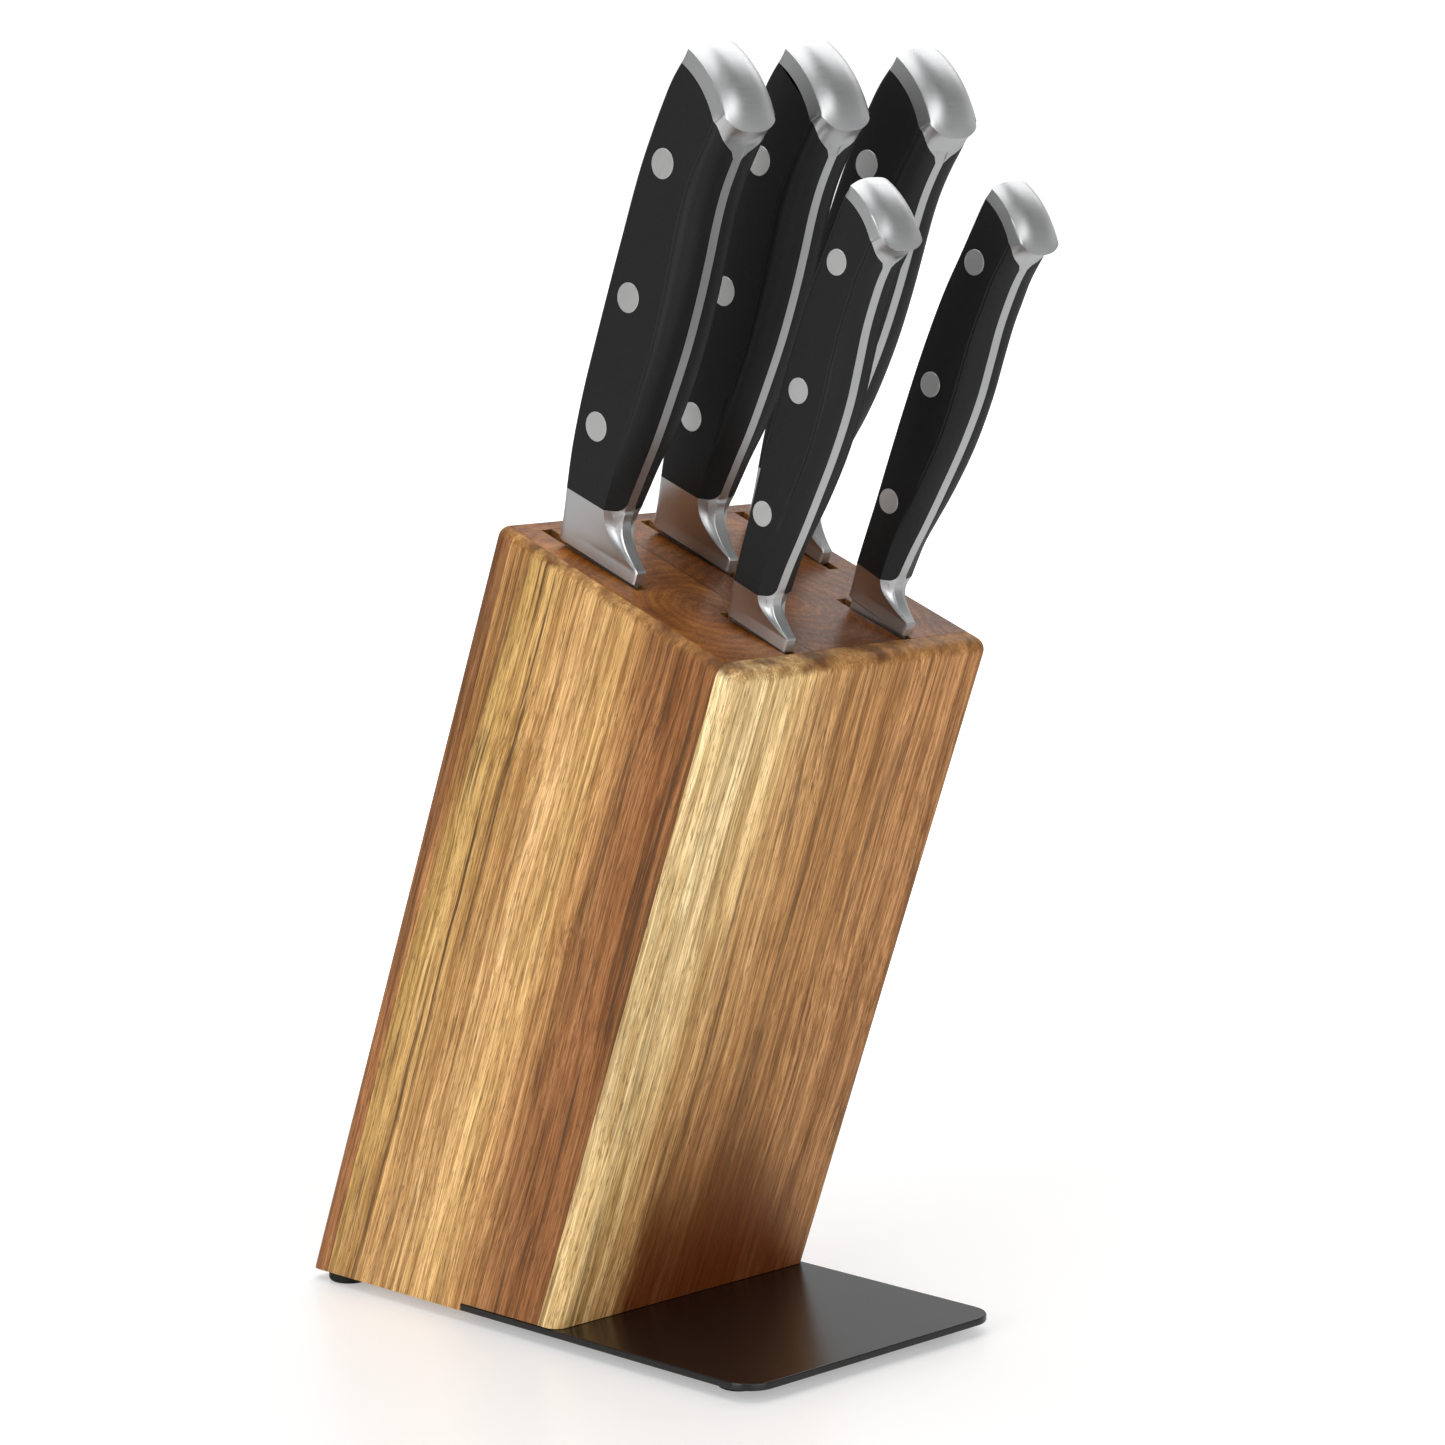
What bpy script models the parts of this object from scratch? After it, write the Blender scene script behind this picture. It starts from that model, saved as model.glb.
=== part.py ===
"""Knife block with five forged knives, leaning forward on a thin steel foot plate.

Lengths below are millimetres; the meshes are written in metres.  The block has its own frame:
x across, s from its back face towards its front face, h up along the slots.
"""
import math

import bmesh
import bpy
from mathutils import Matrix, Vector

MM = 0.001
GAP = 0.3                    # clearance between two touching pieces

# Block
LEAN = math.radians(20.0)    # the block leans forward by this much
BLOCK_W, BLOCK_D = 94.0, 91.0
BLOCK_L = 223.0              # length of the back face along the slots
EDGE_R = 3.4                 # rounding of the upright and top edges
BOARD_T = 6.7                # front and back boards
BACK_EDGE_Y = 99.47          # where the back face meets the underside

# Rubber feet: size, and where they stand (across, forward of the back edge)
FOOT_H, FOOT_R = 3.0, 5.6
FEET = {"back_left": (-40.6, 9.1), "back_right": (40.6, 9.1),
        "front_left": (-36.2, 152.8), "front_right": (36.2, 152.8)}

# Knife slots
SLOT_W = 3.5
ROW_END_BACK = 43.6          # back row slots run from the back board to here
ROW_START_FRONT = 59.7       # front row slots run from here to the front board

# Foot plate
PLATE_T = 2.0
PLATE_REAR, PLATE_FRONT = 61.0, 167.0    # distances forward of the block's back edge
PLATE_CORNER_R = 8.0
SCREW_AT = (10.8, 76.0)      # across and forward of the back edge
SCREW_HEAD_R, SCREW_SHANK_R, SCREW_L = 3.6, 1.6, 16.0

# Handles.  Stations run from the bolster to the end cap: (h, spine s, belly s, crease s), with s
# measured from the line of the rivets.
LARGE = {
    "half": 8.8, "neck_half": 6.7, "rivet_r": 3.8, "rivets": (35.6, 69.9, 104.7),
    "bolster": {"top": 16.3, "heel": 19.7, "toe": -7.3, "toe_half": 4.2, "toe_lift": 1.6},
    "stations": ((16.3, -6.9, 10.3, 8.0), (26.0, -7.5, 11.7, 9.0), (37.0, -7.7, 13.4, 10.2),
                 (48.5, -7.8, 14.5, 11.2), (62.0, -7.9, 15.4, 11.8), (75.0, -7.9, 15.4, 11.2),
                 (85.5, -7.8, 14.9, 10.3), (95.5, -7.7, 14.2, 9.6), (102.5, -7.4, 14.2, 9.7)),
    "cap": {"centre": (-8.0, 104.0), "inner_r": 26.2, "outer_r": 30.2, "spine": -3.2,
            "lip": (14.6, 118.0), "root": (15.5, 111.5), "nose": 3.6, "crown": 3.0},
}
SMALL = {
    "half": 7.2, "neck_half": 6.0, "rivet_r": 3.25, "rivets": (31.6, 64.5, 98.0),
    "bolster": {"top": 11.8, "heel": 14.9, "toe": -5.0, "toe_half": 3.6, "toe_lift": 1.2},
    "stations": ((11.8, -4.3, 6.8, 5.2), (20.4, -4.4, 7.5, 5.1), (28.8, -4.5, 8.6, 5.8),
                 (39.3, -5.0, 9.7, 7.2), (52.8, -5.8, 10.8, 8.6), (65.4, -6.4, 10.9, 8.0),
                 (75.7, -6.6, 9.9, 7.1), (83.8, -6.5, 9.0, 6.7), (89.8, -6.2, 8.8, 6.8)),
    "cap": {"centre": (-7.3, 93.4), "inner_r": 20.5, "outer_r": 23.6, "spine": -4.1,
            "lip": (9.4, 105.0), "root": (9.3, 100.4), "nose": 3.0, "crown": 2.3},
}
TANG_HALF = 1.4
TANG_INSET = 0.15            # leaves a shoulder of bolster all round the foot of the tang
HEEL_H, HEEL_HALF = 3.6, TANG_HALF + 0.15
FRONT_SWEEP, RIDGE_SWEEP = 2.6, 2.9      # how sharply the bolster's front and ridge curve to the heel
SPINE_SWELL, RIDGE_SWELL = 1.3, 0.85     # how the bolster thickens upwards at its back and ridge
BOLSTER_LIFT = 0.5           # the bolster stops this far above the slot's mouth

# Blades
BLADE_HALF = 1.2
BLADE_TAPER = 0.6            # share of the thickness lost from bolster to tip
SCALLOP_DEPTH, PLAIN_TIP = 0.9, 12.0     # bread knife edge, and the length at its tip left plain

# Knives: handle, slot x, s of the rivet line at the block's top, lean in the slot (degrees), lift,
# blade stations (distance below the bolster, spine, edge), scallops along the edge
KNIVES = {
    "chef_knife": (LARGE, -35.3, 22.3, 0.0, 0.0,
                   ((0, -6.7, 20.0), (60, -6.6, 19.6), (110, -6.4, 17.2), (155, -5.6, 11.0),
                    (185, -4.2, 3.0), (200, -2.8, -2.2)), 0),
    "bread_knife": (LARGE, 0.0, 20.2, 0.3, 0.0,
                    ((0, -6.7, 20.0), (20, -6.7, 19.2), (170, -6.3, 18.0), (190, -5.0, 15.0),
                     (200, 3.0, 10.0)), 15),
    "carving_knife": (LARGE, 35.3, 20.1, 2.6, 0.4,
                      ((0, -6.7, 20.0), (12, -6.6, 18.0), (110, -6.2, 16.0), (160, -5.0, 11.0),
                       (188, -3.2, 4.2), (200, -1.6, -1.0)), 0),
    "utility_knife": (SMALL, -21.6, 68.4, 1.5, 0.0,
                      ((0, -4.7, 15.0), (10, -4.6, 13.8), (70, -4.0, 12.6), (105, -2.6, 9.0),
                       (130, 1.2, 1.9)), 0),
    "paring_knife": (SMALL, 21.4, 69.1, 4.6, 1.6,
                     ((0, -4.7, 15.0), (6, -4.6, 13.4), (45, -3.4, 12.0), (68, -0.8, 9.0),
                      (82, 3.4, 4.2)), 0),
}
FRONT_ROW = ("utility_knife", "paring_knife")


def clear_scene():
    for obj in list(bpy.data.objects):
        bpy.data.objects.remove(obj, do_unlink=True)


def material(name, colour, metallic, roughness):
    mat = bpy.data.materials.new(name)
    mat.use_nodes = True
    shader = mat.node_tree.nodes["Principled BSDF"]
    shader.inputs["Base Color"].default_value = (*colour, 1.0)
    shader.inputs["Metallic"].default_value = metallic
    shader.inputs["Roughness"].default_value = roughness
    mat.diffuse_color = (*colour, 1.0)
    return mat


def collection(name):
    col = bpy.data.collections.new(name)
    bpy.context.scene.collection.children.link(col)
    return col


def link_mesh(name, bm, frame, col, mat):
    """Write a bmesh built in millimetres (x, s, h) as an object in the given frame."""
    for vert in bm.verts:
        x, s, h = vert.co
        vert.co = Vector((x, -s, h)) * MM
    bmesh.ops.remove_doubles(bm, verts=bm.verts, dist=1e-6)
    bmesh.ops.recalc_face_normals(bm, faces=bm.faces)
    mesh = bpy.data.meshes.new(name)
    bm.to_mesh(mesh)
    bm.free()
    if mat:
        mesh.materials.append(mat)
    obj = bpy.data.objects.new(name, mesh)
    obj.matrix_world = frame
    col.objects.link(obj)
    return obj


def loft(rings):
    """Closed skin through rings of equal length, capped at both ends."""
    bm = bmesh.new()
    rows = [[bm.verts.new(point) for point in ring] for ring in rings]
    count = len(rows[0])
    for low, high in zip(rows, rows[1:]):
        for i in range(count):
            j = (i + 1) % count
            bm.faces.new((low[i], low[j], high[j], high[i]))
    bm.faces.new(rows[0][::-1])
    bm.faces.new(rows[-1])
    bm.normal_update()
    bmesh.ops.triangulate(bm, faces=bm.faces)
    return bm


def box(x0, x1, s0, s1, h0, h1):
    bm = bmesh.new()
    centre = Vector((x0 + x1, s0 + s1, h0 + h1)) / 2
    size = Matrix.Diagonal((x1 - x0, s1 - s0, h1 - h0, 1.0))
    bmesh.ops.create_cube(bm, size=1.0, matrix=Matrix.Translation(centre) @ size)
    return bm


def cross_pin(radius, half, s, h, sides):
    """Cylinder along x through (s, h)."""
    bm = bmesh.new()
    turn = Matrix.Translation((0.0, s, h)) @ Matrix.Rotation(math.pi / 2, 4, "Y")
    bmesh.ops.create_cone(bm, cap_ends=True, segments=sides, radius1=radius, radius2=radius,
                          depth=2 * half, matrix=turn)
    return bm


def turned(name, profile, sides, at, frame, col, mat):
    """Solid of revolution about the upright line at (x, s); profile is (radius, h) pairs, top first."""
    mesh = bpy.data.meshes.new(name)
    points = [(0.0, profile[0][1])] + list(profile) + [(0.0, profile[-1][1])]
    edges = [(i, i + 1) for i in range(len(points) - 1)]
    mesh.from_pydata([(r * MM, 0.0, h * MM) for r, h in points], edges, [])
    if mat:
        mesh.materials.append(mat)
    obj = bpy.data.objects.new(name, mesh)
    obj.matrix_world = frame @ Matrix.Translation(Vector((at[0], -at[1], 0.0)) * MM)
    col.objects.link(obj)
    screw = obj.modifiers.new("turn", "SCREW")
    screw.steps = screw.render_steps = sides
    screw.use_merge_vertices = True
    screw.merge_threshold = 0.00001
    return obj


def boolean(obj, other, operation):
    mod = obj.modifiers.new(operation.lower() + "_" + other.name, "BOOLEAN")
    mod.operation = operation
    mod.object = other
    mod.solver = "EXACT"
    other.hide_render = True
    other.display_type = "WIRE"


def rounded_outline(inset):
    """Block cross-section drawn in by inset, with rounded corners, as (x, s) pairs."""
    radius = max(EDGE_R - inset, 0.2)
    reach = inset + radius
    points = []
    for x, s, start in ((BLOCK_W / 2 - reach, reach, 270), (BLOCK_W / 2 - reach, BLOCK_D - reach, 0),
                        (reach - BLOCK_W / 2, BLOCK_D - reach, 90), (reach - BLOCK_W / 2, reach, 180)):
        for step in range(4):
            angle = math.radians(start + 30 * step)
            points.append((x + radius * math.cos(angle), s + radius * math.sin(angle)))
    return points


def block_envelope(frame, cutters):
    """The whole block as one body with rounded edges, cut level underneath."""
    rings = [[(x, s, s * math.tan(LEAN)) for x, s in rounded_outline(0.0)]]
    for step in range(4):
        angle = math.radians(30 * step)
        inset, h = EDGE_R * (1 - math.cos(angle)), BLOCK_L - EDGE_R * (1 - math.sin(angle))
        rings.append([(x, s, h) for x, s in rounded_outline(inset)])
    return link_mesh("block_envelope", loft(rings), frame, cutters, None)


def plate_rebate(upright, cutters):
    """The step in the underside of the block that takes the foot plate."""
    bm = box(-BLOCK_W, BLOCK_W, PLATE_REAR - GAP, PLATE_FRONT, FOOT_H - 5.0, FOOT_H + PLATE_T + GAP)
    return link_mesh("plate_rebate", bm, upright, cutters, None)


def screw_profile(extra):
    """Countersunk wood screw, point up; extra widens it to the hole it sits in."""
    head, shank = SCREW_HEAD_R + extra, SCREW_SHANK_R + extra
    base = FOOT_H - (1.0 if extra else 0.0)
    return ((0.3 + extra, SCREW_L + extra), (shank, SCREW_L - 4 + extra),
            (shank, FOOT_H + 0.2 + SCREW_HEAD_R - SCREW_SHANK_R), (head, FOOT_H + 0.2), (head, base))


def build_block(frame, upright, parts, cutters, woods):
    """Boards, planks and spacer strips, each sawn out of the rounded envelope."""
    envelope, rebate = block_envelope(frame, cutters), plate_rebate(upright, cutters)
    far = BLOCK_W
    half_slot = SLOT_W / 2
    g = GAP / 2
    inner = (BOARD_T + g, BLOCK_D - BOARD_T - g)
    pieces = {"back_board": (-far, far, -far, BOARD_T - g),
              "front_board": (-far, far, BLOCK_D - BOARD_T + g, 2 * far)}
    slots = sorted((knife[1], name) for name, knife in KNIVES.items())
    edges = [-far] + [x + side for x, _ in slots for side in (-half_slot, half_slot)] + [far]
    for number, (x0, x1) in enumerate(zip(edges[::2], edges[1::2]), start=1):
        pieces["plank_%d" % number] = (x0, x1, *inner)
    for x, name in slots:
        span = (inner[0], ROW_START_FRONT) if name in FRONT_ROW else (ROW_END_BACK, inner[1])
        pieces["spacer_" + name.split("_")[0]] = (x - half_slot + g, x + half_slot - g, *span)
    boards = {}
    for number, (name, (x0, x1, s0, s1)) in enumerate(pieces.items()):
        bm = box(x0, x1, s0, s1, -5.0, BLOCK_L + 5.0)
        boards[name] = link_mesh(name, bm, frame, parts, woods[number % len(woods)])
        boolean(boards[name], envelope, "INTERSECT")
        if s1 > ROW_END_BACK:
            boolean(boards[name], rebate, "DIFFERENCE")
    return boards


def build_base(upright, parts, cutters, boards, steel, bright, rubber):
    """Foot plate, its two screws and the four rubber feet."""
    half = BLOCK_W / 2
    outline = [(half, PLATE_REAR), (-half, PLATE_REAR)]
    for side, start in ((-1, math.pi), (1, math.pi / 2)):
        cx, cs = side * (half - PLATE_CORNER_R), PLATE_FRONT - PLATE_CORNER_R
        for step in range(7):
            angle = start - step * math.pi / 12
            outline.append((cx + PLATE_CORNER_R * math.cos(angle), cs + PLATE_CORNER_R * math.sin(angle)))
    bm = loft([[(x, s, h) for x, s in outline] for h in (FOOT_H, FOOT_H + PLATE_T)])
    plate = link_mesh("base_plate", bm, upright, parts, steel)
    for side, label, plank in ((-1, "left", "plank_3"), (1, "right", "plank_4")):
        at = (side * SCREW_AT[0], SCREW_AT[1])
        turned("plate_screw_" + label, screw_profile(0.0), 12, at, upright, parts, bright)
        hole = turned("screw_hole_" + label, screw_profile(GAP), 12, at, upright, cutters, None)
        boolean(plate, hole, "DIFFERENCE")
        boolean(boards[plank], hole, "DIFFERENCE")
    profile = ((FOOT_R, FOOT_H - 0.05), (FOOT_R, 1.0), (FOOT_R - 0.3, 0.4), (FOOT_R - 1.2, 0.0))
    for label, at in FEET.items():
        turned("foot_" + label, profile, 20, at, upright, parts, rubber)


def edge_point(handle, h, column):
    """Interpolate a column of the handle's stations at height h."""
    rows = handle["stations"]
    for low, high in zip(rows, rows[1:]):
        if h <= high[0]:
            break
    t = (h - low[0]) / (high[0] - low[0])
    return low[column] + (high[column] - low[column]) * t


def grip_half(handle, h):
    """Half thickness of the grip, thinner towards the bolster."""
    low, high = handle["bolster"]["top"], handle["rivets"][1] * 0.7
    t = min(max((h - low) / (high - low), 0.0), 1.0)
    return handle["neck_half"] + (handle["half"] - handle["neck_half"]) * math.sin(t * math.pi / 2)


def arc(handle, radius, s):
    """Height of the cap's arc of the given radius at s."""
    cs, ch = handle["cap"]["centre"]
    return ch + math.sqrt(radius ** 2 - (s - cs) ** 2)


def blade_rings(stations, scallops):
    """Blade sections from the tip up to the bolster, six points each."""
    tip = stations[-1][0]
    depths = {row[0] for row in stations}
    step = tip / (2 * scallops) if scallops else tip
    depths |= {round(step * i, 3) for i in range(2, 2 * scallops)}
    rings = []
    for depth in sorted(depths, reverse=True):
        for low, high in zip(stations, stations[1:]):
            if depth <= high[0]:
                break
        t = (depth - low[0]) / (high[0] - low[0])
        spine = low[1] + (high[1] - low[1]) * t
        edge = low[2] + (high[2] - low[2]) * t
        if scallops and round(depth / step) % 2 and depth < tip - PLAIN_TIP:
            edge -= SCALLOP_DEPTH
        half = BLADE_HALF * (1.0 - BLADE_TAPER * depth / tip)
        middle = spine + (edge - spine) * 0.35
        rings.append([(-half, spine, -depth), (half, spine, -depth), (half * 0.9, middle, -depth),
                      (0.12, edge, -depth), (-0.12, edge, -depth), (-half * 0.9, middle, -depth)])
    return rings


def bolster_rings(handle):
    """Bolster sections: a wedge at the slot that swells to the handle and sweeps down to the heel."""
    b = handle["bolster"]
    top, heel = b["top"], b["heel"]
    start = handle["stations"][0]
    rings = []
    for t in (None, 0.0, 0.11, 0.27, 0.46, 0.70, 1.0):
        h = 0.0 if t is None else HEEL_H + (top - HEEL_H) * t
        t = t or 0.0
        rise = h / top
        spine_half = b["toe_half"] + (grip_half(handle, top) - b["toe_half"]) * rise ** SPINE_SWELL
        spine = b["toe"] + (start[1] - b["toe"]) * rise
        ridge_half = HEEL_HALF + (grip_half(handle, top) - HEEL_HALF) * t ** RIDGE_SWELL
        ridge = start[3] + (heel - 0.5 - start[3]) * (1.0 - t) ** RIDGE_SWEEP
        front = start[2] + (heel - start[2]) * (1.0 - t) ** FRONT_SWEEP
        low, high = BOLSTER_LIFT + h, BOLSTER_LIFT + h + b["toe_lift"] * (1.0 - rise)
        rings.append([(-spine_half, spine, high), (spine_half, spine, high), (ridge_half, ridge, low),
                      (TANG_HALF, front, low), (-TANG_HALF, front, low), (-ridge_half, ridge, low)])
    rings[-1] = [(x, s, top) for x, s, _ in rings[-1]]
    return rings


def tang_rings(handle):
    """Full tang between the scales, from inside the bolster up into the end cap."""
    cap = handle["cap"]
    inset = TANG_INSET
    first = handle["stations"][0]
    outline = [(first[1] + inset, first[0] - 3.0)]
    outline += [(spine + inset, h) for h, spine, _, _ in handle["stations"]]
    outline.append(((handle["stations"][-1][1] + cap["spine"]) / 2 - 0.8, cap["root"][1] + 3.0))
    for i in range(6):
        s = cap["spine"] + 0.6 + (cap["lip"][0] - 2.5 - cap["spine"]) * i / 5
        outline.append((s, arc(handle, cap["inner_r"] + 1.2, s)))
    outline.append((cap["root"][0] - 0.5, cap["root"][1] + 2.5))
    outline.append((cap["root"][0] - 0.8, cap["root"][1] - 1.5))
    outline += [(belly - inset, h) for h, _, belly, _ in reversed(handle["stations"])]
    outline.append((first[2] - inset, first[0] - 3.0))
    return [[(x, s, h) for s, h in outline] for x in (-TANG_HALF, TANG_HALF)]


def cap_rings(handle):
    """End cap sections across x: an arched band with a crowned top and a hooked nose."""
    cap, half = handle["cap"], handle["half"]
    cs, ch = cap["centre"]
    lip_s, lip_h = cap["lip"]
    root_s, root_h = cap["root"]
    spine = cap["spine"]
    rings = []
    waist = TANG_HALF + 0.4
    for x in (-half, -half * 0.8, -half * 0.5, -waist, waist, half * 0.5, half * 0.8, half):
        side = abs(x) / half
        swell = 1.0 - side ** 2
        outer = cap["outer_r"] + cap["crown"] * swell
        nose = math.atan2(lip_h + 4.0 - ch, lip_s - cs) - 0.06 * swell
        back = math.acos((spine + 1.6 - cs) / cap["outer_r"])
        ring = []
        for i in range(6):
            s = spine + (lip_s - 0.6 - spine) * i / 5
            ring.append((x, s, arc(handle, cap["inner_r"], s)))
        if abs(x) < half * 0.6:
            drop = 1.0 if abs(x) <= waist else 0.45
            ring.append((x, lip_s + (root_s + 0.6 - lip_s) * drop, lip_h + (root_h - lip_h) * drop))
        else:
            ring.append((x, lip_s, lip_h))
        reach = cap["outer_r"] + cap["nose"] * swell
        ring.append((x, cs + reach * math.cos(nose), ch + reach * math.sin(nose) - 1.4 * swell))
        for i in range(1, 6):
            angle = nose + (back - nose) * i / 5
            blend = max(reach - (reach - outer) * i / 2, outer)
            ring.append((x, cs + blend * math.cos(angle), ch + blend * math.sin(angle)))
        rings.append(ring)
    return rings


def scale_rings(handle, side):
    """One handle scale: flat side, crease, and a facet that falls to the belly beside the tang."""
    cap = handle["cap"]
    inner = TANG_HALF + GAP
    top = handle["stations"][-1][0]
    rows = handle["stations"]
    radius = cap["inner_r"] - GAP

    def ring(spine, belly, crease, half, height):
        steps = [spine + (crease - spine) * i / 4 for i in range(5)]
        outline = [(inner, s) for s in steps] + [(inner, belly)]
        outline += [(inner + (half - inner) * 0.55, belly - (belly - crease) * 0.42)]
        outline += [(half, s) for s in steps[::-1]]
        outline[-1] = (half - 0.9, spine)
        outline.insert(-1, (half, spine + 0.9))
        return [(side * x, s, height(x, s)) for x, s in outline]

    rings = []
    for number, (h, spine, belly, crease) in enumerate(rows):
        lift = GAP if number == 0 else 0.0
        rings.append(ring(spine, belly, crease, grip_half(handle, h), lambda x, s, z=h + lift: z))
    lip_s, root_s, root_h = cap["lip"][0] - 0.8, cap["root"][0] - 0.2, cap["root"][1] - 0.8

    def under_cap(x, s):
        if s <= lip_s:
            return arc(handle, radius, s)
        t = min((s - lip_s) / (root_s - lip_s), 1.0)
        return arc(handle, radius, lip_s) * (1 - t) + root_h * t

    spine = cap["spine"]
    middle = edge_point(handle, top, 1)

    def between(x, s):
        return (top + under_cap(x, s)) / 2

    rings.append(ring((spine + middle) / 2 - 1.0, root_s - 0.9, (lip_s + rows[-1][3]) / 2, handle["half"],
                      between))
    rings.append(ring(spine, root_s, lip_s - 1.6, handle["half"], under_cap))
    return rings


def build_knife(name, block, parts, cutters, steel, black, bright):
    handle, x, s, lean, lift, stations, scallops = KNIVES[name]
    frame = block @ Matrix.Translation(Vector((x, -s, BLOCK_L + lift)) * MM) \
        @ Matrix.Rotation(math.radians(lean), 4, "X")
    rings = blade_rings(stations, scallops) + bolster_rings(handle)
    forging = link_mesh(name + "_forged_blade", loft(rings), frame, parts, steel)
    for label, form in (("tang", tang_rings(handle)), ("end_cap", cap_rings(handle))):
        form = link_mesh("%s_%s_form" % (name, label), loft(form), frame, cutters, steel)
        boolean(forging, form, "UNION")
    scales = [link_mesh("%s_scale_%s" % (name, label), loft(scale_rings(handle, side)), frame, parts, black)
              for label, side in (("left", -1), ("right", 1))]
    for label, h in zip(("lower", "middle", "upper"), handle["rivets"]):
        half = grip_half(handle, h)
        pin = cross_pin(handle["rivet_r"], half, 0.0, h, 16)
        link_mesh("%s_rivet_%s" % (name, label), pin, frame, parts, bright)
        bore = cross_pin(handle["rivet_r"] + GAP, half + 5.0, 0.0, h, 16)
        bore = link_mesh("%s_bore_%s" % (name, label), bore, frame, cutters, None)
        for obj in [forging] + scales:
            boolean(obj, bore, "DIFFERENCE")


def main():
    clear_scene()
    parts, cutters = collection("knife_block"), collection("cutters")
    woods = [material("acacia_brown", (0.36, 0.17, 0.07), 0.0, 0.45),
             material("acacia_pale", (0.66, 0.42, 0.20), 0.0, 0.45),
             material("acacia_gold", (0.50, 0.28, 0.11), 0.0, 0.45)]
    steel = material("brushed_steel", (0.62, 0.62, 0.61), 1.0, 0.32)
    bright = material("rivet_steel", (0.70, 0.70, 0.69), 1.0, 0.28)
    black = material("black_handle", (0.015, 0.015, 0.015), 0.0, 0.50)
    painted = material("black_plate", (0.02, 0.02, 0.02), 0.0, 0.35)
    rubber = material("black_rubber", (0.02, 0.02, 0.02), 0.0, 0.85)
    upright = Matrix.Translation(Vector((0.0, BACK_EDGE_Y, 0.0)) * MM)
    block = Matrix.Translation(Vector((0.0, BACK_EDGE_Y, FOOT_H)) * MM) @ Matrix.Rotation(LEAN, 4, "X")
    boards = build_block(block, upright, parts, cutters, woods)
    build_base(upright, parts, cutters, boards, painted, bright, rubber)
    for name in KNIVES:
        build_knife(name, block, parts, cutters, steel, black, bright)
    bpy.context.view_layer.update()


main()
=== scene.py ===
"""Looks of a knife block with five knives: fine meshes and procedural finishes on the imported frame.

Lengths below are millimetres in the block's own frame: x across, s from its back face towards its
front face, h up along the slots.  A knife's frame has s measured from its line of rivets and h from
the foot of its bolster.  Objects are written in metres.
"""

import math

import bmesh
import bpy
from mathutils import Matrix, Vector


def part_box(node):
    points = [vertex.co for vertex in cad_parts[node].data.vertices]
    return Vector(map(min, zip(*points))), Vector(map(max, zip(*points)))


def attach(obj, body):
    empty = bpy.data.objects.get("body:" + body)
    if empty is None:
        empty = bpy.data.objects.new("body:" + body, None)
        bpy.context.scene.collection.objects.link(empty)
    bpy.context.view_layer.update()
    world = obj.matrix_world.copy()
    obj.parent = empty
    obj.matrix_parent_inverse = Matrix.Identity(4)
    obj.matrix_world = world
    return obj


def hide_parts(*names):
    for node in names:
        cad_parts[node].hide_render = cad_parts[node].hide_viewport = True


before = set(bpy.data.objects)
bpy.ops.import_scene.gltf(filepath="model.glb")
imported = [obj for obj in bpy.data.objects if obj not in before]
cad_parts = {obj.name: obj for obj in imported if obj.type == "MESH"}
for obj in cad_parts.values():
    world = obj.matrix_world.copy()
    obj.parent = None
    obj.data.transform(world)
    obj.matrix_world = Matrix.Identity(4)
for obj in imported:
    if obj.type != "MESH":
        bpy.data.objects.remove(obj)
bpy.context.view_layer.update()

MM = 0.001
LEAN = math.radians(20.0)
BACK_EDGE_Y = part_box("back_board")[1].y / MM
FOOT_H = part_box("base_plate")[0].z / MM
BLOCK_W = (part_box("front_board")[1].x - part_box("front_board")[0].x) / MM
BLOCK_D, BLOCK_L = 91.0, 223.0
EDGE_R = 3.4
BOARD_T = 6.7
SEAM = 0.04                  # hairline between two glued boards
SLOT_W = 3.5
SLOT_OVERLAP = 3.0           # how far a slot cutter reaches into the boards that close the slot
ROW_END_BACK, ROW_START_FRONT = 43.6, 59.7
PLATE_T, PLATE_REAR, PLATE_FRONT = 2.0, 61.0, 167.0
PLATE_CORNER_R = 8.0
PLATE_EDGE_R = 0.35
REBATE = PLATE_T + 0.1       # depth of the step in the block's underside that takes the plate
SCREW_AT = (10.8, 76.0)
SCREW_HEAD_R, SCREW_THREAD_R, SCREW_CORE_R, SCREW_TURN = 3.6, 1.55, 1.25, 1.2
RECESS_L, RECESS_W, RECESS_DEPTH = 3.6, 0.7, 1.2
HEAD_HOLE_R, SHANK_HOLE_R = 3.9, 1.9
FOOT_R, FOOT_ROUND, FOOT_ROUND_H = 5.6, 1.4, 1.1
FEET = {"back_left": (-40.6, 9.1), "back_right": (40.6, 9.1),
        "front_left": (-36.2, 152.8), "front_right": (36.2, 152.8)}

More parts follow.
